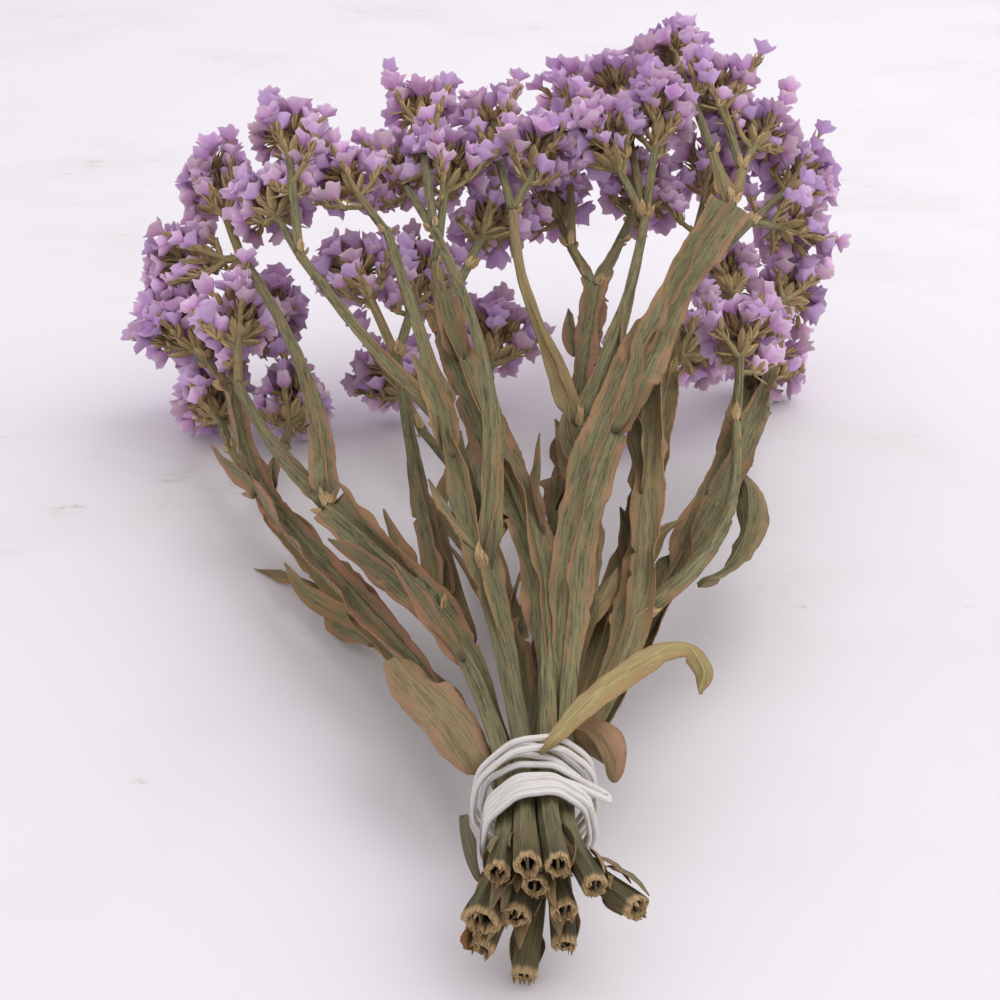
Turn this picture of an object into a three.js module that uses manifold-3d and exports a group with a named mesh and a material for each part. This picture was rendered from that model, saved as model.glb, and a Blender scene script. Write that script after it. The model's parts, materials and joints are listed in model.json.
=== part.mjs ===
// A bunch of dried statice (Limonium sinuatum): twelve winged stems, tied near their cut ends with white
// elastic cord, fan out into a dome of papery flower heads. It lies on its side, resting on its lowest
// cut end and its lowest heads. +X is across the bunch, +Y runs from the cut ends to the flowers, +Z is up.
// Millimetres. Run it with the npm packages three and manifold-3d.
import * as THREE from "three";
import { mergeVertices } from "three/addons/utils/BufferGeometryUtils.js";
import Module from "manifold-3d";

const wasm = await Module();
wasm.setup();

// ---- driving dimensions ----
const REACH = 340; // from the middle of the tie to the far flowers
const SPREAD = 210; // width of the fan at the flower heads
const PILE_HEIGHT = 100; // height of the fan at the flower heads
const FOOT_LENGTH = 28; // from the middle of the tie to the cut ends
const TIE_HEIGHT = 21; // height of the tie's middle above the surface

const STEM_DIAMETER = 4.0; // round core of a stem where it is tied
const FOOT_DIAMETER = 4.8; // the same stem at its cut end
const TIP_DIAMETER = 2.2; // where a twig meets its flower head
const PITH_DIAMETER = 2.4; // the hollow in a cut end
const PITH_DEPTH = 8;
const WING_THICKNESS = 0.9; // the leafy wings that run down each stem
const WING_START = 12; // length beyond the tie where the wings are crushed away
const WING_GROWTH = 40; // length over which a wing then reaches its full width

const HEAD_LENGTH = 23; // one flower head, from its twig to the tips of its flowers
const HEAD_WIDTH = 24;

const CORD_DIAMETER = 1.5; // the elastic cord of the tie
const TURN_GAP = 0.35; // between one turn and the next
const TURNS = 5; // in each of the two groups of turns
const GROUP_GAP = 3.4; // between the two groups
const LOOP_LENGTH = 11; // the doubled cord that stands out between the groups
const TAIL_LENGTH = 10; // the cut end that hangs down

const CLEARANCE = 0.4; // between pieces that touch
const STEP = 18; // length of stem between two sections
const FINENESS = 0.03; // how far the faces may be simplified

// How the stems give way to one another as they lie. In each round, marks on two stems that are too close
// part by a share of what is missing, then go back a little towards their plan, and each line is eased.
const ROUNDS = 60;
const PUSH = 0.35;
const RETURN = 0.04;
const EASE = 0.12;
const WING_ROOM = 0.35; // share of a wing that keeps other stems away, because the rest bends
const HEAD_ROOM = 0.43; // share of a head's width that keeps other heads away, because they mingle
const HEAD_REST = 0.48; // share of a head's width at which its middle lies above the surface

// How a stem thins, in half widths.
const STEM_TAPER = 0.4; // from the tie to its forks
const BRANCH_TAPER = 0.3;
const TWIG_TAPER = 0.2;
const BRANCH_WING = 0.8; // share of the stem's wing that a branch starts with

// ---- colours ----
const STEM_GREEN = 0x9c9a72;
const LEAF_TAN = 0xb39b74;
const FLOWER_LILAC = 0xb98cc0;
const CORD_WHITE = 0xe9e6e2;

// Nine seats around three, where the stems pass through the tie.
const SEAT_PITCH = STEM_DIAMETER + CLEARANCE;
const OUTER = 1.53 * SEAT_PITCH;
const INNER = 0.58 * SEAT_PITCH;
const TURN_PITCH = CORD_DIAMETER + TURN_GAP;
const TIE_WIDTH = 2 * TURNS * TURN_PITCH + GROUP_GAP + CORD_DIAMETER;
const CORD_RING = OUTER + STEM_DIAMETER / 2 + 2 * CLEARANCE + CORD_DIAMETER / 2;
const TIE_RADIUS = CORD_RING + CORD_DIAMETER / 2;

// Points of the fan are in percent: across of half the spread, along of the reach, up of the pile height.
// A seat is a ring and an angle in degrees. A foot is in percent of the foot length from the tie's middle.
// A branch leaves its stem at a share of the stem's length beyond the tie, and each head has its own twig.
const STEMS = [
  {
    name: "left", seat: [OUTER, 190], foot: [-38, -97, -22], wing: 5, roll: 20, twist: 30,
    way: [[-19, 14, 21], [-38, 26, 22], [-66, 43, 23], [-79, 60, 24], [-82, 65, 25]],
    branches: [
      { at: 1, way: [[-90, 70, 27]], heads: [[-102, 74, 32], [-94, 79, 22]] },
      { at: 1, way: [[-80, 71, 28]], heads: [[-76, 78, 32]] },
    ],
  },
  {
    name: "low_left", seat: [OUTER, 230], foot: [-38, -92, -47], wing: 4, roll: -10, twist: 20,
    way: [[-12, 14, 12], [-32, 27, 9], [-56, 41, 9], [-70, 52, 11]],
    branches: [
      { at: 1, way: [[-80, 60, 12]], heads: [[-90, 71, 13]] },
      { at: 1, way: [[-66, 61, 12]], heads: [[-66, 70, 13]] },
    ],
  },
  {
    name: "upper_left", seat: [OUTER, 150], foot: [-27, -88, 10], wing: 5, roll: 10, twist: -30,
    way: [[-10, 13, 31], [-19, 20, 33], [-30, 25, 34], [-46, 32, 37]],
    branches: [
      {
        at: 1, way: [[-49, 41, 43], [-56, 52, 47], [-68, 64, 52], [-80, 73, 56]],
        heads: [[-91, 82, 70], [-98, 77, 50]],
      },
      { at: 1, way: [[-58, 41, 35], [-68, 49, 34], [-76, 57, 36]], heads: [[-80, 68, 42]] },
      { at: 0.55, way: [[-25, 34, 36], [-29, 44, 39], [-34, 58, 43]], heads: [[-46, 73, 52], [-30, 74, 50]] },
    ],
  },
  {
    name: "top_left", seat: [OUTER, 110], foot: [-7, -96, 22], wing: 4.6, roll: 0, twist: 20,
    way: [[-5, 12, 36], [-10, 20, 41], [-15, 29, 47], [-19, 36, 53]],
    branches: [
      { at: 1, way: [[-33, 44, 58], [-48, 53, 64], [-60, 62, 69]], heads: [[-73, 76, 70], [-68, 80, 87]] },
      { at: 1, way: [[-24, 46, 59], [-31, 56, 66], [-37, 65, 72]], heads: [[-51, 77, 77]] },
      {
        at: 0.45, way: [[-7, 26, 49], [-8, 38, 60], [-14, 50, 69], [-24, 61, 77]],
        heads: [[-37, 83, 73], [-31, 90, 86]],
      },
    ],
  },
  {
    name: "top", seat: [OUTER, 70], foot: [13, -98, 23], wing: 5, roll: -8, twist: -20,
    way: [[5, 15, 36], [2, 25, 42], [-6, 34, 46], [-15, 45, 53], [-22, 56, 60]],
    branches: [
      { at: 1, way: [[-24, 63, 65]], heads: [[-22, 78, 78]] },
      { at: 1, way: [[-16, 66, 60]], heads: [[-10, 79, 61]] },
    ],
  },
  {
    name: "centre", seat: [INNER, 90], foot: [-2, -92, 3], wing: 4.8, roll: 6, twist: 30,
    way: [[7, 12, 31], [11, 19, 36], [14, 29, 43], [12, 38, 49]],
    branches: [
      { at: 1, way: [[4, 50, 59], [-3, 60, 66], [-3, 70, 73]], heads: [[-9, 86, 83], [7, 82, 81]] },
      {
        at: 1, way: [[22, 50, 56], [29, 61, 63], [34, 72, 69]],
        heads: [[22, 81, 84], [40, 84, 90], [30, 93, 92]],
      },
    ],
  },
  {
    name: "top_right", seat: [OUTER, 30], foot: [38, -96, 5], wing: 5.8, roll: -14, twist: 16,
    way: [[6, 15, 37], [8, 22, 44], [14, 30, 51], [28, 45, 62], [43, 58, 71], [56, 67, 78]],
    branches: [
      { at: 1, way: [[62, 76, 80]], heads: [[71, 89, 80], [59, 92, 92]] },
      { at: 1, way: [[54, 77, 84]], heads: [[49, 95, 98]] },
    ],
  },
  {
    name: "right", seat: [OUTER, 350], foot: [66, -100, -9], wing: 5, roll: -10, twist: -30,
    way: [[15, 11, 29], [21, 15, 32], [26, 20, 34], [26, 29, 41], [31, 46, 52], [38, 58, 58]],
    branches: [
      { at: 1, way: [[49, 66, 62], [64, 74, 66]], heads: [[84, 90, 64], [81, 84, 54]] },
      { at: 0.24, way: [[36, 24, 32], [44, 28, 33], [50, 34, 35], [52, 46, 40]], heads: [[58, 60, 48]] },
    ],
  },
  {
    name: "low_right", seat: [OUTER, 310], foot: [18, -90, -46], wing: 5.2, roll: -20, twist: 30,
    way: [[14, 12, 19], [24, 20, 23], [36, 31, 27], [54, 47, 32], [64, 60, 36], [68, 67, 39]],
    branches: [
      { at: 1, way: [[74, 74, 40]], heads: [[80, 82, 34]] },
      { at: 1, way: [[62, 73, 41]], heads: [[60, 80, 42]] },
      { at: 0.5, way: [[60, 54, 22], [68, 66, 16]], heads: [[74, 80, 13]] },
    ],
  },
  {
    name: "bottom", seat: [OUTER, 270], foot: [-9, -98, -65], wing: 4, roll: 0, twist: 10,
    way: [[1, 14, 9], [-3, 28, 7], [-10, 42, 9], [-16, 54, 12]],
    branches: [
      { at: 1, way: [[-28, 63, 14]], heads: [[-38, 74, 17]] },
      { at: 1, way: [[-12, 66, 17]], heads: [[-8, 79, 22]] },
      { at: 0.5, way: [[8, 42, 10], [18, 56, 12]], heads: [[26, 69, 15]] },
    ],
  },
  {
    name: "inner_left", seat: [INNER, 210], foot: [-15, -91, -22], wing: 5.6, roll: 24, twist: 20,
    way: [[2, 12, 25], [6, 23, 29], [8, 35, 35], [12, 47, 41], [17, 61, 48], [20, 68, 52]],
    branches: [
      { at: 1, way: [[14, 76, 56]], heads: [[9, 86, 60], [15, 98, 82]] },
      { at: 1, way: [[28, 77, 57]], heads: [[36, 86, 62]] },
    ],
  },
  {
    name: "inner_right", seat: [INNER, 330], foot: [18, -94, -16], wing: 5, roll: 4, twist: -40,
    way: [[12, 12, 25], [17, 20, 27], [22, 27, 29], [28, 36, 33], [33, 47, 37], [38, 56, 40]],
    branches: [
      { at: 1, way: [[38, 64, 34]], heads: [[50, 72, 28]] },
      { at: 1, way: [[42, 66, 46]], heads: [[58, 90, 66]] },
    ],
  },
];

// Loose dried leaves. One in the tie has its way as across and up in percent of the tie's outer radius, from
// the tie's middle, and along in millimetres. The others are in percent, as the stems are. The roll turns the
// flat of the leaf about its length.
const LEAVES = [
  {
    name: "front", width: 7, roll: -20, curl: 0.4,
    way: [
      [9, 2, 113], [57, 11, 120], [113, 21, 130], [175, 31, 130],
      [248, 40, 130], [300, 44, 110], [328, 40, 83], [318, 35, 64],
    ],
  },
  {
    name: "tie_right", width: 7, roll: 50, curl: 1.2,
    way: [[70, 22, 50], [100, 19, 66], [126, 15, 66], [142, 11, 50], [146, 8, 20]],
  },
  {
    name: "tie_left", width: 6, roll: 75, curl: 0.6,
    way: [[-126, -3, 14], [-120, -7, 2], [-110, -12, -22], [-97, -15, -48]],
  },
  {
    name: "foot", width: 8, roll: 60, curl: 0.4,
    way: [[-84, -14, -34], [-98, -19, -66], [-112, -24, -94], [-120, -27, -112]],
  },
  {
    name: "far_left", width: 11, roll: -35, curl: 0.4, inFan: true,
    way: [[-10, 4, 22], [-16, 8, 24], [-23, 12, 25], [-29, 16.5, 25]],
  },
  {
    name: "middle", width: 7, roll: 40, curl: 1, inFan: true,
    way: [[-12, 17, 28], [-17, 24, 30], [-21, 33, 32], [-19, 41, 35]],
  },
  {
    name: "far_right", width: 8, roll: -50, curl: 1.1, inFan: true,
    way: [[37, 24, 30], [45, 28, 26], [52, 34, 26], [54, 41, 28], [51, 46, 28]],
  },
];

const tieMiddle = new THREE.Vector3(0, 0, TIE_HEIGHT);
const radians = THREE.MathUtils.degToRad;

// ---- the lines of the stems ----

const inFan = ([across, along, up]) =>
  new THREE.Vector3((across / 100) * (SPREAD / 2), (along / 100) * REACH, (up / 100) * PILE_HEIGHT);

const besideTie = ([across, along, up]) =>
  new THREE.Vector3((across / 100) * TIE_RADIUS, along, (up / 100) * TIE_RADIUS).add(tieMiddle);

const seatOf = ([ring, degrees]) =>
  new THREE.Vector3(ring * Math.cos(radians(degrees)), 0, ring * Math.sin(radians(degrees))).add(tieMiddle);

// Evenly spaced points of a smooth route.
function spaced(route) {
  const curve = new THREE.CatmullRomCurve3(route, false, "centripetal");
  return curve.getSpacedPoints(Math.max(2, Math.round(curve.getLength() / STEP)));
}

// A line of points with the half width of the core and of the wings at each.
function lineOf(stem, points, coreAt, wingAt, held = 0) {
  const last = points.length - 1;
  return {
    stem,
    points,
    planned: points.map((p) => p.clone()),
    core: points.map((_, i) => coreAt(i / last)),
    wing: points.map((_, i) => Math.max(coreAt(i / last), wingAt(i / last))),
    reach: points.map((_, i) => {
      const core = coreAt(i / last);
      return core + WING_ROOM * Math.max(0, wingAt(i / last) - core);
    }),
    held,
    head: false,
  };
}

// The main line of a stem, then its branches, then the twigs that carry its flower heads.
function linesOf(stem) {
  const half = new THREE.Vector3(0, TIE_WIDTH / 2, 0);
  const seat = seatOf(stem.seat);
  const foot = new THREE.Vector3(...stem.foot).multiplyScalar(FOOT_LENGTH / 100).add(tieMiddle);
  const before = seat.clone().sub(half);
  const fan = spaced([seat.clone().add(half), ...stem.way.map(inFan)]);
  const length = STEP * (fan.length - 1);
  const [thick, thin] = [STEM_DIAMETER / 2, TIP_DIAMETER / 2];
  const grown = (u) => THREE.MathUtils.smoothstep(u * length, WING_START, WING_START + WING_GROWTH);
  const main = lineOf(stem, fan, (u) => thick - STEM_TAPER * u, (u) => stem.wing * grown(u), 1);
  main.foot = [foot, before];
  const lines = [main];
  for (const branch of stem.branches) {
    const from = Math.round(branch.at * (fan.length - 1));
    const points = spaced([fan[from], ...branch.way.map(inFan)]);
    const wing = (u) => BRANCH_WING * stem.wing * (1 - u);
    const limb = lineOf(stem, points, (u) => thick - STEM_TAPER - BRANCH_TAPER * u, wing);
    Object.assign(limb, { parent: main, from });
    lines.push(limb);
    for (const head of branch.heads) {
      const way = spaced([points.at(-1), inFan(head)]);
      const twig = lineOf(stem, way, (u) => thin + TWIG_TAPER * (1 - u), () => 0);
      Object.assign(twig, { parent: limb, from: points.length - 1, head: true });
      twig.reach[twig.reach.length - 1] = HEAD_ROOM * HEAD_WIDTH;
      lines.push(twig);
    }
  }
  return lines;
}

// Pushes the lines of different stems apart, and up off the surface, while they stay near their plan.
function settle(lines) {
  const marks = lines.flatMap((line) =>
    line.points.map((point, i) => ({ line, i, point, isHead: line.head && i === line.points.length - 1 })),
  );
  const gap = new THREE.Vector3();
  for (let round = 0; round < ROUNDS; round++) {
    const pushes = marks.map(() => new THREE.Vector3());
    for (let a = 0; a < marks.length; a++)
      for (let b = a + 1; b < marks.length; b++) {
        const [p, q] = [marks[a], marks[b]];
        if (p.line.stem === q.line.stem && !(p.isHead && q.isHead)) continue;
        const need = p.line.reach[p.i] + q.line.reach[q.i] + CLEARANCE;
        gap.subVectors(p.point, q.point);
        const distance = gap.length();
        if (distance >= need || distance < 1e-6) continue;
        gap.multiplyScalar((PUSH * (need - distance)) / distance);
        pushes[a].add(gap);
        pushes[b].sub(gap);
      }
    marks.forEach(({ line, i, point, isHead }, m) => {
      if (i < line.held) return;
      point.add(pushes[m]).lerp(line.planned[i], RETURN);
      point.z = Math.max(point.z, isHead ? HEAD_REST * HEAD_WIDTH : line.reach[i]);
    });
    for (const line of lines) {
      const middles = line.points.map((_, i) =>
        i < line.held || i === 0 || i === line.points.length - 1
          ? null
          : line.points[i - 1].clone().add(line.points[i + 1]).multiplyScalar(0.5),
      );
      middles.forEach((middle, i) => middle && line.points[i].lerp(middle, EASE));
      if (line.parent) line.points[0].copy(line.parent.points[line.from]);
    }
  }
}

// ---- solids ----

// A closed skin over rings of points, each ring anticlockwise to an eye that looks the way the rings run.
function skinOf(rings) {
  const sides = rings[0].length;
  const middle = (ring) => ring.reduce((sum, p) => sum.add(p), new THREE.Vector3()).divideScalar(sides);
  const points = [...rings.flat(), middle(rings[0]), middle(rings.at(-1))];
  const index = [];
  for (let r = 0; r + 1 < rings.length; r++)
    for (let s = 0; s < sides; s++) {
      const [a, b] = [r * sides + s, r * sides + ((s + 1) % sides)];
      index.push(a, b + sides, b, a, a + sides, b + sides);
    }
  const last = (rings.length - 1) * sides;
  for (let s = 0; s < sides; s++) {
    const t = (s + 1) % sides;
    index.push(points.length - 2, s, t, points.length - 1, last + t, last + s);
  }
  return new wasm.Manifold(
    new wasm.Mesh({
      numProp: 3,
      vertProperties: new Float32Array(points.flatMap((p) => [p.x, p.y, p.z])),
      triVerts: new Uint32Array(index),
    }),
  );
}

// A closed geometry as a solid.
function solidOf(geometry) {
  geometry.deleteAttribute("normal");
  geometry.deleteAttribute("uv");
  const merged = mergeVertices(geometry, 1e-4);
  return new wasm.Manifold(
    new wasm.Mesh({
      numProp: 3,
      vertProperties: new Float32Array(merged.attributes.position.array),
      triVerts: new Uint32Array(merged.index.array),
    }),
  );
}

// A solid as a geometry.
function geometryOf(solid) {
  const mesh = solid.getMesh();
  const geometry = new THREE.BufferGeometry();
  geometry.setAttribute("position", new THREE.BufferAttribute(new Float32Array(mesh.vertProperties), 3));
  geometry.setIndex(new THREE.BufferAttribute(new Uint32Array(mesh.triVerts), 1));
  return geometry;
}

// The directions along, beside and above a line of points, one set at each point.
function framesOf(points, rollAt) {
  return points.map((point, i) => {
    const [before, after] = [points[Math.max(i - 1, 0)], points[Math.min(i + 1, points.length - 1)]];
    const along = after.clone().sub(before).normalize();
    const side = new THREE.Vector3(0, 0, 1).cross(along).negate().normalize();
    side.applyAxisAngle(along, radians(rollAt(i / (points.length - 1))));
    return { point, along, side, up: new THREE.Vector3().crossVectors(side, along) };
  });
}

// The same directions with the line made longer by a margin at both ends.
function lengthened(frames, margin) {
  frames.at(0).point = frames.at(0).point.clone().addScaledVector(frames.at(0).along, -margin);
  frames.at(-1).point = frames.at(-1).point.clone().addScaledVector(frames.at(-1).along, margin);
  return frames;
}

const placed = ({ point, side, up }, across, above) =>
  point.clone().addScaledVector(side, across).addScaledVector(up, above);

// One ring around a stem: round where the wings are no wider than the core, flat where they are.
function stemRing(frame, core, wing, grow) {
  const flat = THREE.MathUtils.clamp((wing - core) / core, 0, 1);
  const tip = Math.max(wing, 0.86 * core) + grow;
  const edge = THREE.MathUtils.lerp(0.5 * core, WING_THICKNESS / 2, flat) + grow;
  const crest = core + grow;
  const outline = [[tip, -edge], [tip, edge], [0, crest], [-tip, edge], [-tip, -edge], [0, -crest]];
  return outline.map(([across, above]) => placed(frame, across, above));
}

// The bare points of a twig, the direction of its flower head, and the point where the head begins.
function twigOf(line) {
  const middle = line.points.at(-1);
  const bare = line.points.filter((p, i) => i === 0 || p.distanceTo(middle) > HEAD_LENGTH / 2 + 3);
  const along = middle.clone().sub(bare.at(-1)).normalize();
  return { bare, along, base: middle.clone().addScaledVector(along, -HEAD_LENGTH / 2) };
}

// A stem with its branches and twigs as one solid, grown by a margin.
function stemSolid(stem, lines, grow) {
  const parts = lines
    .filter((line) => line.stem === stem)
    .map((line) => {
      let { points, core, wing } = line;
      if (line.foot) {
        points = [...line.foot, ...points];
        core = [FOOT_DIAMETER / 2, STEM_DIAMETER / 2, ...core];
        wing = [FOOT_DIAMETER / 2, STEM_DIAMETER / 2, ...wing];
      }
      if (line.head) {
        const { bare, along, base } = twigOf(line);
        points = [...bare, base.addScaledVector(along, -2 * CLEARANCE)];
        core = [...core.slice(0, bare.length), TIP_DIAMETER / 2];
      }
      const frames = lengthened(framesOf(points, (u) => stem.roll + stem.twist * u), grow);
      return skinOf(frames.map((frame, i) => stemRing(frame, core[i], wing[i], grow)));
    });
  return wasm.Manifold.union(parts);
}

// The blind hollow in the cut end of a stem.
function pithOf(line) {
  const [foot, seat] = line.foot;
  const along = seat.clone().sub(foot).normalize();
  const hollow = new THREE.CylinderGeometry(PITH_DIAMETER / 2, PITH_DIAMETER / 2, 2 * PITH_DEPTH, 6);
  hollow.applyQuaternion(new THREE.Quaternion().setFromUnitVectors(new THREE.Vector3(0, 1, 0), along));
  hollow.translate(foot.x, foot.y, foot.z);
  return solidOf(hollow);
}

// A flower head: a lobed top that opens from its twig, with one lobe for each outer flower.
function headSolid(line, number, grow) {
  const { along, base } = twigOf(line);
  const turn = 47 * number;
  const profile = [[0, 0.16], [0.25, 0.6], [0.72, 1], [0.95, 0.74], [1, 0.34]];
  const reach = (u) => u * HEAD_LENGTH + (2 * u - 1) * grow;
  const points = profile.map(([u]) => base.clone().addScaledVector(along, reach(u)));
  const frames = framesOf(points, () => turn);
  const rings = frames.map((frame, i) =>
    Array.from({ length: 8 }, (_, s) => {
      const lobe = s % 2 ? 0.8 : 1 + 0.06 * Math.sin(5 * s + 3 * number);
      const radius = (HEAD_WIDTH / 2) * profile[i][1] * lobe + grow;
      const angle = radians(45 * s + 8 * i);
      return placed(frame, radius * Math.cos(angle), radius * Math.sin(angle));
    }),
  );
  return skinOf(rings);
}

// A leaf: a thin strip, pointed at both ends and curled across its width.
function leafSolid(leaf, grow) {
  const route = leaf.way.map(leaf.inFan ? inFan : besideTie);
  const points = new THREE.CatmullRomCurve3(route, false, "centripetal").getSpacedPoints(6);
  const thickness = WING_THICKNESS / 2 + grow;
  const frames = lengthened(framesOf(points, (u) => leaf.roll + 40 * u), grow);
  const rings = frames.map((frame, i) => {
    const half = (leaf.width / 2) * (0.25 + 0.75 * Math.sin((Math.PI * (i + 0.6)) / 7.2)) + grow;
    const across = [-1, 0, 1];
    const dished = (x) => half * leaf.curl * 0.45 * (1 - x * x);
    const under = across.map((x) => placed(frame, x * half, dished(x) - thickness));
    const over = across.map((x) => placed(frame, x * half, dished(x) + thickness));
    return [...under, ...over.reverse()];
  });
  return skinOf(rings);
}

// The elastic cord: a tail, a group of turns, a doubled loop, and a second group wound back the other way.
function cordSolid(grow) {
  const onRing = (degrees, along, out = 0) => {
    const angle = radians(degrees);
    const x = CORD_RING * Math.cos(angle) + out * Math.sin(angle);
    const z = CORD_RING * Math.sin(angle) - out * Math.cos(angle);
    return new THREE.Vector3(x, along, z).add(tieMiddle);
  };
  const [leave, start] = [60, 210 + 360 * (TURNS - 1)];
  const perTurn = 12;
  const turns = Math.round(((start - leave) / 360) * perTurn);
  const span = ((start - leave) / 360) * TURN_PITCH;
  const near = Array.from({ length: turns + 1 }, (_, i) =>
    onRing(start - ((start - leave) * i) / turns, -GROUP_GAP / 2 - span * (1 - i / turns)),
  );
  const far = Array.from({ length: turns + 1 }, (_, i) =>
    onRing(leave + ((start - leave) * i) / turns, GROUP_GAP / 2 + (span * i) / turns),
  );
  const tailEnd = onRing(start, -GROUP_GAP / 2 - span - 0.3 * TAIL_LENGTH, -TAIL_LENGTH);
  const tailBend = onRing(start, -GROUP_GAP / 2 - span - 0.08 * TAIL_LENGTH, -0.5 * TAIL_LENGTH);
  const leg = CORD_DIAMETER / 2 + CLEARANCE;
  const loop = [
    onRing(leave, -0.8 * GROUP_GAP / 2, 0.3 * LOOP_LENGTH),
    onRing(leave, -leg, 0.75 * LOOP_LENGTH),
    onRing(leave, -0.7 * leg, 0.95 * LOOP_LENGTH),
    onRing(leave, 0.7 * leg, 0.95 * LOOP_LENGTH),
    onRing(leave, leg, 0.75 * LOOP_LENGTH),
    onRing(leave, 0.8 * GROUP_GAP / 2, 0.3 * LOOP_LENGTH),
  ];
  const stub = onRing(start, GROUP_GAP / 2 + span, -2.5);
  const way = [tailEnd, tailBend, ...near, ...loop, ...far, stub];
  const path = new THREE.CatmullRomCurve3(way, false, "centripetal");
  const section = new THREE.Shape().absarc(0, 0, CORD_DIAMETER / 2 + grow, 0, 2 * Math.PI);
  const steps = 2 * turns + 14;
  const shape = { steps, curveSegments: 3, bevelEnabled: false, extrudePath: path };
  return solidOf(new THREE.ExtrudeGeometry(section, shape));
}

// ---- the bunch ----

const lines = STEMS.flatMap(linesOf);
settle(lines);

// Each piece in turn is cut clear of the ones already placed, and its one body is kept.
const placedPieces = [];
const largest = (solid) => solid.decompose().reduce((a, b) => (b.volume() > a.volume() ? b : a));

function boxesMeet(a, b) {
  return [0, 1, 2].every((k) => a.min[k] < b.max[k] && b.min[k] < a.max[k]);
}

function place(name, color, roughness, solid, grown) {
  const box = solid.boundingBox();
  const near = placedPieces.filter((piece) => boxesMeet(box, piece.grown.boundingBox()));
  const clear = near.length ? solid.subtract(wasm.Manifold.union(near.map((piece) => piece.grown))) : solid;
  placedPieces.push({ name, color, roughness, solid: largest(clear.asOriginal().simplify(FINENESS)), grown });
}

// The grown cord stays under half a turn's gap, so that its turns don't meet.
place("cord", CORD_WHITE, 0.7, cordSolid(0), cordSolid(0.45 * TURN_GAP));
for (const stem of STEMS) {
  const main = lines.find((line) => line.stem === stem);
  const whole = stemSolid(stem, lines, 0).subtract(pithOf(main));
  place(`stem_${stem.name}`, STEM_GREEN, 0.8, whole, stemSolid(stem, lines, CLEARANCE));
}
for (const leaf of LEAVES)
  place(`leaf_${leaf.name}`, LEAF_TAN, 0.85, leafSolid(leaf, 0), leafSolid(leaf, CLEARANCE));
for (const stem of STEMS)
  lines
    .filter((line) => line.stem === stem && line.head)
    .forEach((line, i) => {
      const number = lines.indexOf(line);
      const name = `flower_${stem.name}_${i + 1}`;
      place(name, FLOWER_LILAC, 0.9, headSolid(line, number, 0), headSolid(line, number, CLEARANCE));
    });

// The whole bunch stands with the middle of its footprint on the origin.
const group = new THREE.Group();
const box = new THREE.Box3();
for (const piece of placedPieces) {
  const { min, max } = piece.solid.boundingBox();
  box.expandByPoint(new THREE.Vector3(...min)).expandByPoint(new THREE.Vector3(...max));
}
const middle = box.getCenter(new THREE.Vector3());
for (const { name, color, roughness, solid } of placedPieces) {
  const geometry = geometryOf(solid).translate(-middle.x, -middle.y, -box.min.z);
  const mesh = new THREE.Mesh(geometry, new THREE.MeshStandardMaterial({ color, roughness, metalness: 0 }));
  mesh.name = name;
  group.add(mesh);
}

export default group;
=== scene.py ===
"""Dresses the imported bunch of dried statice: winged stems, dry leaves, papery flower heads and the tie.

Lengths are in millimetres in the layout of the frame's own source, where Y starts at the middle of the tie
and Z at the surface. They become metres in the row frame only when a mesh is made.
"""

import json
import logging
import math
from collections.abc import Sequence
from dataclasses import dataclass, field
from enum import Enum
from typing import Any

import bpy
import numpy as np
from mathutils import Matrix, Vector

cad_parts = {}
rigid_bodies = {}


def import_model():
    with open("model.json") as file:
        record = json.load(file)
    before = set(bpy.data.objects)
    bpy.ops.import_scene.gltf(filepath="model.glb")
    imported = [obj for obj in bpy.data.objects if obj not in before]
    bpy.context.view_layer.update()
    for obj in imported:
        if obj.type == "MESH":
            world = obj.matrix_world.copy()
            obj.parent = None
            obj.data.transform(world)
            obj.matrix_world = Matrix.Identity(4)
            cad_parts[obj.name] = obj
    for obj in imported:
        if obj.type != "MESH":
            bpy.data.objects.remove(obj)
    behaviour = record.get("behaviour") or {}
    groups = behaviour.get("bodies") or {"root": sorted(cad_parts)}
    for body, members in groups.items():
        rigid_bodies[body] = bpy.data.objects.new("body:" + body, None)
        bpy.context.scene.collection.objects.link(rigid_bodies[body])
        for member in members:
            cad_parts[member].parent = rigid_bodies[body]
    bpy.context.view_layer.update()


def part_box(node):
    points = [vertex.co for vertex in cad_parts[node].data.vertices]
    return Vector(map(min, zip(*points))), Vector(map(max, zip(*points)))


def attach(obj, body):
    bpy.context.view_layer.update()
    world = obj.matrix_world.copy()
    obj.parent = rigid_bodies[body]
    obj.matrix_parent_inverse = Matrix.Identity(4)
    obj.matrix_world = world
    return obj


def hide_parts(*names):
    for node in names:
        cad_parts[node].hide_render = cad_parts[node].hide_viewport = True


log = logging.getLogger("statice")
BODY = "root"
MM = 0.001
UP = np.array([0.0, 0.0, 1.0])
Triple = Sequence[float]
Array = np.ndarray
Rng = np.random.Generator
Material = bpy.types.Material
Piece = bpy.types.Object


# ---------------------------------------------------------------- the plan of the bunch


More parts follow.
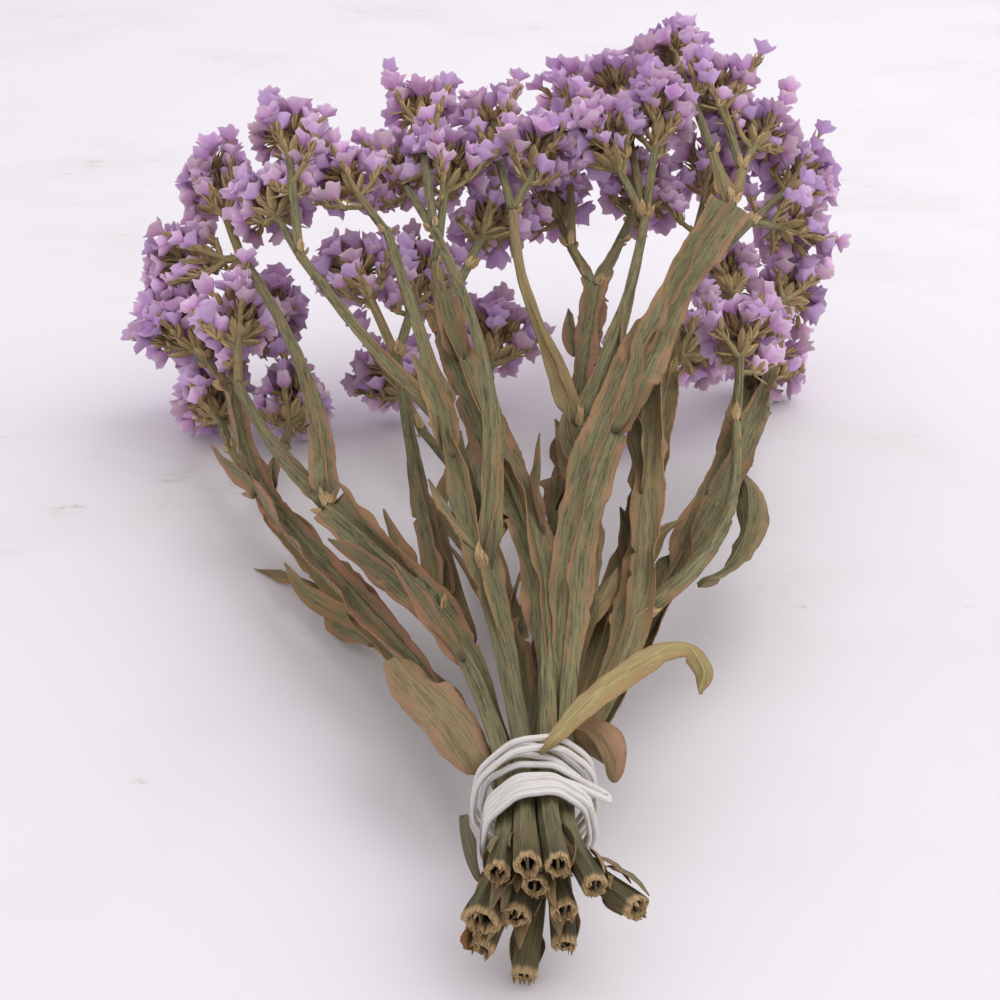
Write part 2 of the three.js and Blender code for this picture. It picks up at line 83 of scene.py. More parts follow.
@dataclass(frozen=True)
class Sizes:
    """Driving sizes of the bunch, the same as the frame's."""

    reach: float = 340.0
    spread: float = 210.0
    pile: float = 100.0
    foot_length: float = 28.0
    tie_height: float = 21.0
    stem: float = 4.0
    foot: float = 4.8
    tip: float = 2.2
    wing_start: float = 12.0
    wing_growth: float = 40.0
    head_length: float = 23.0
    head_width: float = 24.0
    cord: float = 1.5
    turn_gap: float = 0.35
    turns: int = 5
    group_gap: float = 3.4
    loop: float = 11.0
    tail: float = 10.0
    clearance: float = 0.4
    step: float = 18.0
    stem_taper: float = 0.4
    branch_taper: float = 0.3
    twig_taper: float = 0.2
    branch_wing: float = 0.8
    wing_room: float = 0.35
    head_room: float = 0.43
    head_rest: float = 0.48

    @property
    def seat_pitch(self) -> float:
        """Distance between two stems in the tie."""
        return self.stem + self.clearance

    @property
    def turn_pitch(self) -> float:
        """Distance between two turns of the cord."""
        return self.cord + self.turn_gap

    @property
    def tie_width(self) -> float:
        """Width of both groups of turns."""
        return 2 * self.turns * self.turn_pitch + self.group_gap + self.cord

    @property
    def cord_ring(self) -> float:
        """Radius of the middle of the cord round the stems."""
        return Ring.OUTER.value * self.seat_pitch + self.stem / 2 + 2 * self.clearance + self.cord / 2

    @property
    def tie_radius(self) -> float:
        """Outer radius of the tie."""
        return self.cord_ring + self.cord / 2

    def fan(self, point: Triple) -> Array:
        """A point of the fan, from percents of its width, reach and height."""
        return np.array(point) / 100 * [self.spread / 2, self.reach, self.pile]

    def beside_tie(self, point: Triple) -> Array:
        """A point near the tie, from percents of its radius across and up, and millimetres along."""
        across, along, up = point
        return self.tie_middle + [across / 100 * self.tie_radius, along, up / 100 * self.tie_radius]

    @property
    def tie_middle(self) -> Array:
        """The middle of the tie."""
        return np.array([0.0, 0.0, self.tie_height])


class Ring(Enum):
    """The two rings of seats in the tie, as shares of the pitch between seats."""

    OUTER = 1.53
    INNER = 0.58


@dataclass(frozen=True)
class Branch:
    """A branch: where it leaves its stem, its way and the heads at the ends of its twigs."""

    at: float
    way: tuple[Triple, ...]
    heads: tuple[Triple, ...]


@dataclass(frozen=True)
class StemPlan:
    """The planned way of one stem and what it looks like."""

    name: str
    ring: Ring
    angle: float
    foot: Triple
    wing: float
    roll: float
    twist: float
    way: tuple[Triple, ...]
    branches: tuple[Branch, ...]
    blush: float = 0.35
    flare: float = 1.0


SIZES = Sizes()
STEMS = (
    StemPlan(
        "left", Ring.OUTER, 190, (-38, -97, -22), 5, 20, 30,
        ((-19, 14, 21), (-38, 26, 22), (-66, 43, 23), (-79, 60, 24), (-82, 65, 25)),
        (
            Branch(1, ((-90, 70, 27),), ((-102, 74, 32), (-94, 79, 22))),
            Branch(1, ((-80, 71, 28),), ((-76, 78, 32),)),
        ),
        blush=0.75, flare=1.5,
    ),
    StemPlan(
        "low_left", Ring.OUTER, 230, (-38, -92, -47), 4, -10, 20,
        ((-12, 14, 12), (-32, 27, 9), (-56, 41, 9), (-70, 52, 11)),
        (
            Branch(1, ((-80, 60, 12),), ((-90, 71, 13),)),
            Branch(1, ((-66, 61, 12),), ((-66, 70, 13),)),
        ),
    ),
    StemPlan(
        "upper_left", Ring.OUTER, 150, (-27, -88, 10), 5, 10, -30,
        ((-10, 13, 31), (-19, 20, 33), (-30, 25, 34), (-46, 32, 37)),
        (
            Branch(
                1, ((-49, 41, 43), (-56, 52, 47), (-68, 64, 52), (-80, 73, 56)),
                ((-91, 82, 70), (-98, 77, 50)),
            ),
            Branch(1, ((-58, 41, 35), (-68, 49, 34), (-76, 57, 36)), ((-80, 68, 42),)),
            Branch(0.55, ((-25, 34, 36), (-29, 44, 39), (-34, 58, 43)), ((-46, 73, 52), (-30, 74, 50))),
        ),
        blush=0.6,
    ),
    StemPlan(
        "top_left", Ring.OUTER, 110, (-7, -96, 22), 4.6, 0, 20,
        ((-5, 12, 36), (-10, 20, 41), (-15, 29, 47), (-19, 36, 53)),
        (
            Branch(1, ((-33, 44, 58), (-48, 53, 64), (-60, 62, 69)), ((-73, 76, 70), (-68, 80, 87))),
            Branch(1, ((-24, 46, 59), (-31, 56, 66), (-37, 65, 72)), ((-51, 77, 77),)),
            Branch(
                0.45, ((-7, 26, 49), (-8, 38, 60), (-14, 50, 69), (-24, 61, 77)),
                ((-37, 83, 73), (-31, 90, 86)),
            ),
        ),
        blush=0.2,
    ),
    StemPlan(
        "top", Ring.OUTER, 70, (13, -98, 23), 5, -8, -20,
        ((5, 15, 36), (2, 25, 42), (-6, 34, 46), (-15, 45, 53), (-22, 56, 60)),
        (
            Branch(1, ((-24, 63, 65),), ((-22, 78, 78),)),
            Branch(1, ((-16, 66, 60),), ((-10, 79, 61),)),
        ),
        blush=0.55,
    ),
    StemPlan(
        "centre", Ring.INNER, 90, (-2, -92, 3), 4.8, 6, 30,
        ((7, 12, 31), (11, 19, 36), (14, 29, 43), (12, 38, 49)),
        (
            Branch(1, ((4, 50, 59), (-3, 60, 66), (-3, 70, 73)), ((-9, 86, 83), (7, 82, 81))),
            Branch(1, ((22, 50, 56), (29, 61, 63), (34, 72, 69)), ((22, 81, 84), (40, 84, 90), (30, 93, 92))),
        ),
        blush=0.2,
    ),
    StemPlan(
        "top_right", Ring.OUTER, 30, (38, -96, 5), 5.8, -14, 16,
        ((6, 15, 37), (8, 22, 44), (14, 30, 51), (28, 45, 62), (43, 58, 71), (56, 67, 78)),
        (
            Branch(1, ((62, 76, 80),), ((71, 89, 80), (59, 92, 92))),
            Branch(1, ((54, 77, 84),), ((49, 95, 98),)),
        ),
        blush=0.4,
    ),
    StemPlan(
        "right", Ring.OUTER, 350, (66, -100, -9), 5, -10, -30,
        ((15, 11, 29), (21, 15, 32), (26, 20, 34), (26, 29, 41), (31, 46, 52), (38, 58, 58)),
        (
            Branch(1, ((49, 66, 62), (64, 74, 66)), ((84, 90, 64), (81, 84, 54))),
            Branch(0.24, ((36, 24, 32), (44, 28, 33), (50, 34, 35), (52, 46, 40)), ((58, 60, 48),)),
        ),
        blush=0.3, flare=1.1,
    ),
    StemPlan(
        "low_right", Ring.OUTER, 310, (18, -90, -46), 5.2, -20, 30,
        ((14, 12, 19), (24, 20, 23), (36, 31, 27), (54, 47, 32), (64, 60, 36), (68, 67, 39)),
        (
            Branch(1, ((74, 74, 40),), ((80, 82, 34),)),
            Branch(1, ((62, 73, 41),), ((60, 80, 42),)),
            Branch(0.5, ((60, 54, 22), (68, 66, 16)), ((74, 80, 13),)),
        ),
    ),
    StemPlan(
        "bottom", Ring.OUTER, 270, (-9, -98, -65), 4, 0, 10,
        ((1, 14, 9), (-3, 28, 7), (-10, 42, 9), (-16, 54, 12)),
        (
            Branch(1, ((-28, 63, 14),), ((-38, 74, 17),)),
            Branch(1, ((-12, 66, 17),), ((-8, 79, 22),)),
            Branch(0.5, ((8, 42, 10), (18, 56, 12)), ((26, 69, 15),)),
        ),
    ),
    StemPlan(
        "inner_left", Ring.INNER, 210, (-15, -91, -22), 5.6, 24, 20,
        ((2, 12, 25), (6, 23, 29), (8, 35, 35), (12, 47, 41), (17, 61, 48), (20, 68, 52)),
        (
            Branch(1, ((14, 76, 56),), ((9, 86, 60), (15, 98, 82))),
            Branch(1, ((28, 77, 57),), ((36, 86, 62),)),
        ),
        blush=0.7, flare=1.2,
    ),
    StemPlan(
        "inner_right", Ring.INNER, 330, (18, -94, -16), 5, 4, -40,
        ((12, 12, 25), (17, 20, 27), (22, 27, 29), (28, 36, 33), (33, 47, 37), (38, 56, 40)),
        (
            Branch(1, ((38, 64, 34),), ((50, 72, 28),)),
            Branch(1, ((42, 66, 46),), ((58, 90, 66),)),
        ),
    ),
)


# ---------------------------------------------------------------- lines


class Curve:
    """A smooth centripetal curve through points."""

    def __init__(self, route: Sequence[Array], marks: int = 201) -> None:
        """Prepares the curve.

        Args:
            route: the points that it passes through.
            marks: how many places on it are measured.
        """
        through = np.asarray(route, float)
        before, after = 2 * through[:1] - through[1:2], 2 * through[-1:] - through[-2:-1]
        self.knots = np.vstack([before, through, after])
        self.parts = len(through) - 1
        self.table = np.linspace(0, 1, marks)
        self.run = run_of(self.at(self.table))
        self.length = float(self.run[-1])

    def at(self, t: Array) -> Array:
        """Points of the curve.

        Args:
            t: places on it from 0 to 1, each part of the route taking the same share.

        Returns:
            One point for each place.
        """
        place = np.clip(t, 0, 1) * self.parts
        first = np.minimum(place.astype(int), self.parts - 1)
        w = (place - first)[:, None]
        a, b, c, d = (self.knots[first + k] for k in range(4))
        gaps = [np.linalg.norm(q - p, axis=1, keepdims=True) ** 0.5 for p, q in ((a, b), (b, c), (c, d))]
        mid = np.where(gaps[1] < 1e-4, 1.0, gaps[1])
        low, high = (np.where(gap < 1e-4, mid, gap) for gap in (gaps[0], gaps[2]))
        leave = ((b - a) / low - (c - a) / (low + mid) + (c - b) / mid) * mid
        arrive = ((c - b) / mid - (d - b) / (mid + high) + (d - c) / high) * mid
        square, cube = 3 * (c - b) - 2 * leave - arrive, 2 * (b - c) + leave + arrive
        return b + leave * w + square * w**2 + cube * w**3

    def spaced(self, parts: int) -> Array:
        """Evenly spaced points, one more than the parts asked for."""
        wanted = np.linspace(0, self.length, parts + 1)
        return self.at(np.interp(wanted, self.run, self.table))


def run_of(points: Array) -> Array:
    """Length of the line up to each of its points."""
    return np.concatenate([[0], np.cumsum(np.linalg.norm(np.diff(points, axis=0), axis=1))])


def smooth(low: float, high: float, value: Array | float) -> Any:
    """Rises smoothly from 0 to 1 between low and high."""
    t = np.clip((value - low) / (high - low), 0, 1)
    return t * t * (3 - 2 * t)


def unit(vector: Array) -> Array:
    """Vectors of length one."""
    return vector / np.maximum(np.linalg.norm(vector, axis=-1, keepdims=True), 1e-9)


def circle(parts: int) -> Array:
    """Evenly spaced angles round a full turn."""
    return np.linspace(0, 2 * math.pi, parts, endpoint=False)


def sides_of(along: Array, toward: Array) -> tuple[Array, Array]:
    """Two directions square to a line: one beside it and one above it, on the side of a third."""
    side = unit(np.cross(along, toward))
    return side, np.cross(side, along)


def turned(side: Array, up: Array, angle: float | Array) -> Array:
    """The direction at an angle from side towards up."""
    return side * np.cos(angle) + up * np.sin(angle)


def stacked(*parts: Any) -> Array:
    """Values or arrays of them, side by side at each point."""
    return np.stack(np.broadcast_arrays(*parts), -1)


def wander(rng: Rng, run: Array, grain: float) -> Array:
    """Smooth random values along a length.

    Args:
        rng: the source of the random numbers.
        run: where the values are wanted, in millimetres.
        grain: the length over which they change.

    Returns:
        Values from -1 to 1.
    """
    knots = rng.uniform(-1, 1, int(run[-1] / grain) + 3)
    place = run / grain
    first = place.astype(int)
    return knots[first] + (knots[first + 1] - knots[first]) * smooth(0, 1, place - first)


@dataclass
class Line:
    """A line of points with the half width of its core and wings at each, and the room that it needs."""

    stem: int
    points: Array
    core: Array
    wing: Array
    head: bool = False
    held: int = 0
    parent: "Line | None" = None
    start: int = 0
    foot: Array | None = None
    name: str = ""
    reach: Array = field(init=False)
    planned: Array = field(init=False)

    def __post_init__(self) -> None:
        """Keeps the plan and works out the room that the line needs."""
        self.planned = self.points.copy()
        self.wing = np.maximum(self.wing, self.core)
        self.reach = self.core + SIZES.wing_room * (self.wing - self.core)
        if self.head:
            self.reach[-1] = SIZES.head_room * SIZES.head_width


class Layout:
    """The lines of all stems, settled clear of one another as the frame's are."""

    ROUNDS = 60
    PUSH = 0.35
    RETURN = 0.04
    EASE = 0.12

    def __init__(self) -> None:
        """Lays out every stem and settles the lines."""
        self.lines: list[Line] = []
        for number, plan in enumerate(STEMS):
            self._grow(number, plan)
        self._settle()
        self.shift = self._row_shift()

    @staticmethod
    def _spaced(route: Sequence[Array]) -> Array:
        """Points of a smooth route, a stem's step apart."""
        curve = Curve(route)
        return curve.spaced(max(2, int(curve.length / SIZES.step + 0.5)))

    def _grow(self, number: int, plan: StemPlan) -> None:
        """Adds the lines of one stem: its main line, its branches and its twigs.

        Args:
            number: the stem's place in the list.
            plan: its way and branches.
        """
        turn, radius = math.radians(plan.angle), plan.ring.value * SIZES.seat_pitch
        seat = SIZES.tie_middle + radius * np.array([math.cos(turn), 0, math.sin(turn)])
        half = np.array([0, SIZES.tie_width / 2, 0])
        foot = SIZES.tie_middle + np.array(plan.foot) * SIZES.foot_length / 100
        fan = self._spaced([seat + half, *map(SIZES.fan, plan.way)])
        u = np.linspace(0, 1, len(fan))
        thick, thin = SIZES.stem / 2, SIZES.tip / 2
        beyond = u * SIZES.step * (len(fan) - 1)
        wing = plan.wing * smooth(SIZES.wing_start, SIZES.wing_start + SIZES.wing_growth, beyond)
        cut = np.array([foot, seat - half])
        main = Line(number, fan, thick - SIZES.stem_taper * u, wing, held=1, foot=cut)
        self.lines.append(main)
        count = 0
        for branch in plan.branches:
            start = int(branch.at * (len(fan) - 1) + 0.5)
            points = self._spaced([fan[start], *map(SIZES.fan, branch.way)])
            u = np.linspace(0, 1, len(points))
            core = thick - SIZES.stem_taper - SIZES.branch_taper * u
            wing = SIZES.branch_wing * plan.wing * (1 - u)
            limb = Line(number, points, core, wing, parent=main, start=start)
            self.lines.append(limb)
            for head in branch.heads:
                count += 1
                twig = self._spaced([points[-1], SIZES.fan(head)])
                core = thin + SIZES.twig_taper * (1 - np.linspace(0, 1, len(twig)))
                end, name = len(points) - 1, f"{plan.name}_{count}"
                self.lines.append(Line(number, twig, core, 0 * core, True, 0, limb, end, name=name))

    def _settle(self) -> None:
        """Pushes the lines of different stems apart and up off the surface, near their plan."""
        lines = self.lines
        ends = np.cumsum([len(line.points) for line in lines])
        points = np.concatenate([line.points for line in lines])
        for line, end in zip(lines, ends, strict=True):
            line.points = points[end - len(line.points) : end]
        planned = np.concatenate([line.planned for line in lines])
        reach = np.concatenate([line.reach for line in lines])
        stem = np.concatenate([np.full(len(line.points), line.stem) for line in lines])
        index = np.concatenate([np.arange(len(line.points)) for line in lines])
        is_last = np.concatenate([np.arange(len(line.points)) == len(line.points) - 1 for line in lines])
        is_head = is_last & np.concatenate([np.full(len(line.points), line.head) for line in lines])
        held = np.concatenate([np.full(len(line.points), line.held) for line in lines]) > index
        meets = (stem[:, None] != stem) | (is_head[:, None] & is_head)
        need = reach[:, None] + reach + SIZES.clearance
        floor = np.where(is_head, SIZES.head_rest * SIZES.head_width, reach)
        for _ in range(self.ROUNDS):
            gap = points[:, None] - points
            distance = np.linalg.norm(gap, axis=2)
            close = meets & (distance < need) & (distance > 1e-6)
            share = np.where(close, self.PUSH * (need - distance) / np.where(close, distance, 1), 0)
            moved = points + (gap * share[..., None]).sum(1)
            moved += self.RETURN * (planned - moved)
            moved[:, 2] = np.maximum(moved[:, 2], floor)
            points[~held] = moved[~held]
            for line in lines:
                first = max(1, line.held)
                middles = (line.points[first - 1 : -2] + line.points[first + 1 :]) / 2
                line.points[first:-1] += self.EASE * (middles - line.points[first:-1])
                if line.parent is not None:
                    line.points[0] = line.parent.points[line.start]

    def _row_shift(self) -> Array:
        """Finds the move from this layout to the row frame, from the boxes of the frame's flower heads.

        Returns:
            The move, in millimetres.
        """
        gaps = []
        for line in self.lines:
            if line.head:
                low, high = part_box(f"flower_{line.name}")
                gaps.append(np.array((low + high) / 2) / MM - line.points[-1])
        return np.median(gaps, axis=0)

    def of(self, number: int) -> list[Line]:
        """The lines of one stem."""
        return [line for line in self.lines if line.stem == number]


# ---------------------------------------------------------------- meshes


@dataclass
class Track:
    """A line with the directions along, beside and above it, and the length run at each point."""

    points: Array
    along: Array
    side: Array
    up: Array
    run: Array

    @classmethod
    def rolled(cls, points: Array, roll: Array) -> "Track":
        """A track whose side is level, then turned about the line.

        Args:
            points: the points of the line.
            roll: the turn at each point, in degrees.

        Returns:
            The track.
        """
        run = run_of(points)
        along = unit(np.gradient(points, axis=0))
        level = unit(np.cross(along, UP))
        turn = np.radians(roll)[:, None]
        side = unit(turned(level, np.cross(along, level), turn))
        return cls(points, along, side, np.cross(side, along), run)

    @classmethod
    def facing(cls, points: Array, up: Array) -> "Track":
        """A track whose upper side faces a direction.

        Args:
            points: the points of the line.
            up: the direction, one for all points or one for each.

        Returns:
            The track.
        """
        along = unit(np.gradient(points, axis=0))
        return cls(points, along, *sides_of(along, up), run_of(points))

    def rings(self, across: Array, above: Array) -> Array:
        """Rings of points round the line.

        Args:
            across: how far each point lies to the side.
            above: how far it lies above.

        Returns:
            An array of rings of points.
        """
        spread = self.side[:, None] * across[..., None] + self.up[:, None] * above[..., None]
        return self.points[:, None] + spread


class Skin:
    """Closed tubes and strips gathered into one mesh, with the values that the finishes read.

    Each point has a tone of four values: how near it is to a margin, how far it is along, a value of its own
    piece, and how far it belongs to a cut or torn place. On a flower the last value marks the inner wall of
    the cup, which is painted darker as shade, and deep in the hollow of a cut end its highest values paint
    shade. Its grain is a place in millimetres, across and along.
    """

    PRESSED = 1.2  # the height under which points are pressed up against the table
    GRAIN_SHIFT = 31  # how far apart the grains of two blades may lie

    def __init__(self) -> None:
        """Starts an empty mesh."""
        self.points: list[Array] = []
        self.tones: list[Array] = []
        self.grains: list[Array] = []
        self.quads: list[Array] = []
        self.fans: list[Array] = []
        self.quad_slots: list[Array] = []
        self.fan_slots: list[Array] = []
        self.count = 0

    def tube(self, rings: Array, tone: Array, grain: Array, slot: int = 0) -> None:
        """Adds a closed tube.

        Args:
            rings: rings of points, anticlockwise to an eye that looks the way they run.
            tone: the four values of each point.
            grain: the place of each point in the grain.
            slot: the number of its material.
        """
        rows, sides = rings.shape[:2]
        for values, kept in ((rings, self.points), (tone, self.tones), (grain, self.grains)):
            flat = np.broadcast_to(values, (rows, sides, values.shape[-1]))
            kept.append(np.vstack([flat.reshape(rows * sides, -1), flat[0].mean(0), flat[-1].mean(0)]))
        r, s = np.meshgrid(np.arange(rows - 1), np.arange(sides), indexing="ij")
        a, b = r * sides + s, r * sides + (s + 1) % sides
        quads = np.stack([a, a + sides, b + sides, b], -1).reshape(-1, 4) + self.count
        s = np.arange(sides)
        t, last, middle = (s + 1) % sides, (rows - 1) * sides, rows * sides
        starts = np.stack([np.full(sides, middle), s, t], -1)
        ends = np.stack([np.full(sides, middle + 1), last + t, last + s], -1)
        fans = np.vstack([starts, ends]) + self.count
        self.quads.append(quads)
        self.fans.append(fans)
        self.quad_slots.append(np.full(len(quads), slot))
        self.fan_slots.append(np.full(len(fans), slot))
        self.count += middle + 2

    def strip(
        self, track: Track, half: Array, lift: Array, thick: float, tone: Triple, slot: int = 0
    ) -> None:
        """Adds a thin closed blade along a track.

        Args:
            track: its middle line.
            half: its half width at each point, or on each side of each point.
            lift: how far each of its columns is lifted at each point.
            thick: its thickness.
            tone: its own value and its share of torn edge.
            slot: the number of its material.
        """
        x = np.linspace(1, -1, lift.shape[1])
        sides = half if half.ndim == 2 else stacked(half, half)
        wide = np.where(x > 0, sides[:, :1], sides[:, 1:]) * x
        body = thick / 2 * (1 - 0.6 * np.abs(x) ** 3)
        across = np.hstack([wide, wide[:, ::-1]])
        above = np.hstack([lift + body, (lift - body)[:, ::-1]])
        edge = np.abs(np.concatenate([x, x[::-1]]))
        run = track.run[:, None]
        values = stacked(edge, run / track.run[-1], tone[0], tone[1] * edge**4)
        grain = stacked(across, run, self.GRAIN_SHIFT * tone[0])
        self.tube(track.rings(across, above), values, grain, slot)

    def piece(self, name: str, shift: Array, finishes: Sequence[Material], crease: float = 55) -> Piece:
        """Makes the object.

        Args:
            name: its name.
            shift: the move to the row frame, in millimetres.
            finishes: its materials in the order of the slots.
            crease: the angle in degrees past which an edge is sharp.

        Returns:
            The new object, linked to the scene.
        """
        mesh = bpy.data.meshes.new(name)
        points = np.vstack(self.points) + shift
        low = points[:, 2] < self.PRESSED
        points[low, 2] = self.PRESSED * np.exp(points[low, 2] / self.PRESSED - 1)
        points *= MM
        quads, fans = np.vstack(self.quads), np.vstack(self.fans)
        mesh.vertices.add(len(points))
        mesh.vertices.foreach_set("co", points.astype(np.float32).ravel())
        mesh.loops.add(quads.size + fans.size)
        mesh.loops.foreach_set("vertex_index", np.concatenate([quads.ravel(), fans.ravel()]).astype(np.int32))
        mesh.polygons.add(len(quads) + len(fans))
        starts = np.concatenate([np.arange(len(quads)) * 4, quads.size + np.arange(len(fans)) * 3])
        mesh.polygons.foreach_set("loop_start", starts.astype(np.int32))
        slots = np.concatenate([*self.quad_slots, *self.fan_slots])
        mesh.polygons.foreach_set("material_index", slots.astype(np.int32))
        tone = mesh.attributes.new("tone", "FLOAT_COLOR", "POINT")
        tone.data.foreach_set("color", np.vstack(self.tones).astype(np.float32).ravel())
        grain = mesh.attributes.new("grain", "FLOAT_VECTOR", "POINT")
        grain.data.foreach_set("vector", np.vstack(self.grains).astype(np.float32).ravel())
        mesh.update(calc_edges=True)
        mesh.validate()
        mesh.shade_smooth()
        mesh.set_sharp_from_angle(angle=math.radians(crease))
        for finish in finishes:
            mesh.materials.append(finish)
        made = bpy.data.objects.new(name, mesh)
        bpy.context.scene.collection.objects.link(made)
        return made


# ---------------------------------------------------------------- finishes


def paint(code: str) -> tuple[float, float, float, float]:
    """A linear colour from its red, green and blue as a six-figure code."""
    parts = [int(code[i : i + 2], 16) / 255 for i in (0, 2, 4)]
    return (*(p / 12.92 if p <= 0.04045 else ((p + 0.055) / 1.055) ** 2.4 for p in parts), 1.0)


class Socket:
    """A value in a material. Arithmetic on it adds Math nodes."""

    def __init__(self, bench: "Bench", link: Any) -> None:
        """Wraps a socket of a node.

        Args:
            bench: the material being made.
            link: the node's output.
        """
        self.bench, self.link = bench, link

    def _math(self, operation: str, first: Any, second: Any = 0.0) -> "Socket":
        """A Math node on two values."""
        node = self.bench.node("ShaderNodeMath", {"operation": operation}, {0: first, 1: second})
        return Socket(self.bench, node.outputs[0])

    def __add__(self, other: Any) -> "Socket":
        """The sum."""
        return self._math("ADD", self, other)

    def __sub__(self, other: Any) -> "Socket":
        """The difference."""
        return self._math("SUBTRACT", self, other)

    def __rsub__(self, other: Any) -> "Socket":
        """The difference, with this value taken away."""
        return self._math("SUBTRACT", other, self)

    def __mul__(self, other: Any) -> "Socket":
        """The product."""
        return self._math("MULTIPLY", self, other)

    __radd__ = __add__
    __rmul__ = __mul__


class Bench:
    """A material being made, with the nodes that its finish asks for."""

    def __init__(self, name: str) -> None:
        """Starts a material with one Principled shader.

        Args:
            name: the material's name.
        """
        self.material = bpy.data.materials.new(name)
        self.material.use_nodes = True
        self.tree = self.material.node_tree
        self.shader = self.tree.nodes["Principled BSDF"]

    def node(self, kind: str, settings: dict[str, Any], sockets: dict[Any, Any]) -> Any:
        """Adds a node.

        Args:
            kind: the node's type.
            settings: its own settings, set first; stops are a ramp's places and colours.
            sockets: the value or link of each named or numbered input.

        Returns:
            The node.
        """
        made = self.tree.nodes.new(kind)
        for name, value in settings.items():
            if name == "stops":
                ramp = made.color_ramp.elements
                while len(ramp) < len(value):
                    ramp.new(0.5)
                for element, (place, colour) in zip(ramp, value, strict=True):
                    element.position, element.color = place, colour
            else:
                setattr(made, name, value)
        for key, value in sockets.items():
            self.plug(made.inputs[key], value)
        return made

    def plug(self, entry: Any, value: Any) -> None:
        """Links a socket to an input, or sets its value.

        Args:
            entry: the input.
            value: the socket or the value.
        """
        if isinstance(value, Socket):
            self.tree.links.new(value.link, entry)
        else:
            entry.default_value = value

    def read(self, name: str, output: str = "Vector") -> Socket:
        """A value that the mesh holds at each point."""
        return Socket(self, self.node("ShaderNodeAttribute", {"attribute_name": name}, {}).outputs[output])

    def split(self, vector: Socket) -> list[Socket]:
        """The three parts of a vector."""
        return [Socket(self, out) for out in self.node("ShaderNodeSeparateXYZ", {}, {0: vector}).outputs]

    def stretched(self, vector: Socket, by: Triple) -> Socket:
        """A vector times a number on each axis."""
        node = self.node("ShaderNodeVectorMath", {"operation": "MULTIPLY"}, {0: vector, 1: tuple(by)})
        return Socket(self, node.outputs[0])

    def noise(self, at: Socket, scale: float, detail: float = 3.0, rough: float = 0.55) -> Socket:
        """Smooth noise from 0 to 1 at a place."""
        sockets = {"Vector": at, "Scale": scale, "Detail": detail, "Roughness": rough}
        return Socket(self, self.node("ShaderNodeTexNoise", {}, sockets).outputs[0])

    def rise(self, value: Socket, low: float, high: float) -> Socket:
        """A value that rises smoothly from 0 to 1.

        Args:
            value: the value that it follows.
            low: where it is 0.
            high: where it is 1.

        Returns:
            The risen value.
        """
        sockets = {"Value": value, "From Min": low, "From Max": high}
        node = self.node("ShaderNodeMapRange", {"interpolation_type": "SMOOTHSTEP"}, sockets)
        return Socket(self, node.outputs[0])

    def ramp(self, value: Socket, stops: Sequence[tuple[float, str]]) -> Socket:
        """A colour that changes with a value."""
        settings = {"stops": [(place, paint(code)) for place, code in stops]}
        return Socket(self, self.node("ShaderNodeValToRGB", settings, {0: value}).outputs[0])

    def mix(self, share: Any, first: Any, second: Any, blend: str = "MIX") -> Socket:
        """Two colours mixed.

        Args:
            share: how much of the second.
            first: a colour or its code.
            second: a colour or its code.
            blend: the way they are mixed.

        Returns:
            The mixed colour.
        """
        pair = [paint(c) if isinstance(c, str) else c for c in (first, second)]
        settings = {"data_type": "RGBA", "blend_type": blend}
        node = self.node("ShaderNodeMix", settings, {"Factor": share, 6: pair[0], 7: pair[1]})
        return Socket(self, node.outputs[2])

    def done(self, colour: Socket, roughness: Any, height: Socket, depth: float, **fixed: float) -> Material:
        """Joins everything to the shader.

        Args:
            colour: the base colour.
            roughness: a value or link.
            height: what the bump follows.
            depth: how deep the bump is, in millimetres.
            fixed: values set on the shader's own sockets.

        Returns:
            The material.
        """
        bump = self.node("ShaderNodeBump", {}, {"Strength": 0.8, "Distance": depth * MM, "Height": height})
        self.plug(self.shader.inputs["Base Color"], colour)
        self.plug(self.shader.inputs["Roughness"], roughness)
        self.plug(self.shader.inputs["Normal"], Socket(self, bump.outputs[0]))
        for name, value in fixed.items():
            self.shader.inputs[name.replace("_", " ")].default_value = value
        return self.material


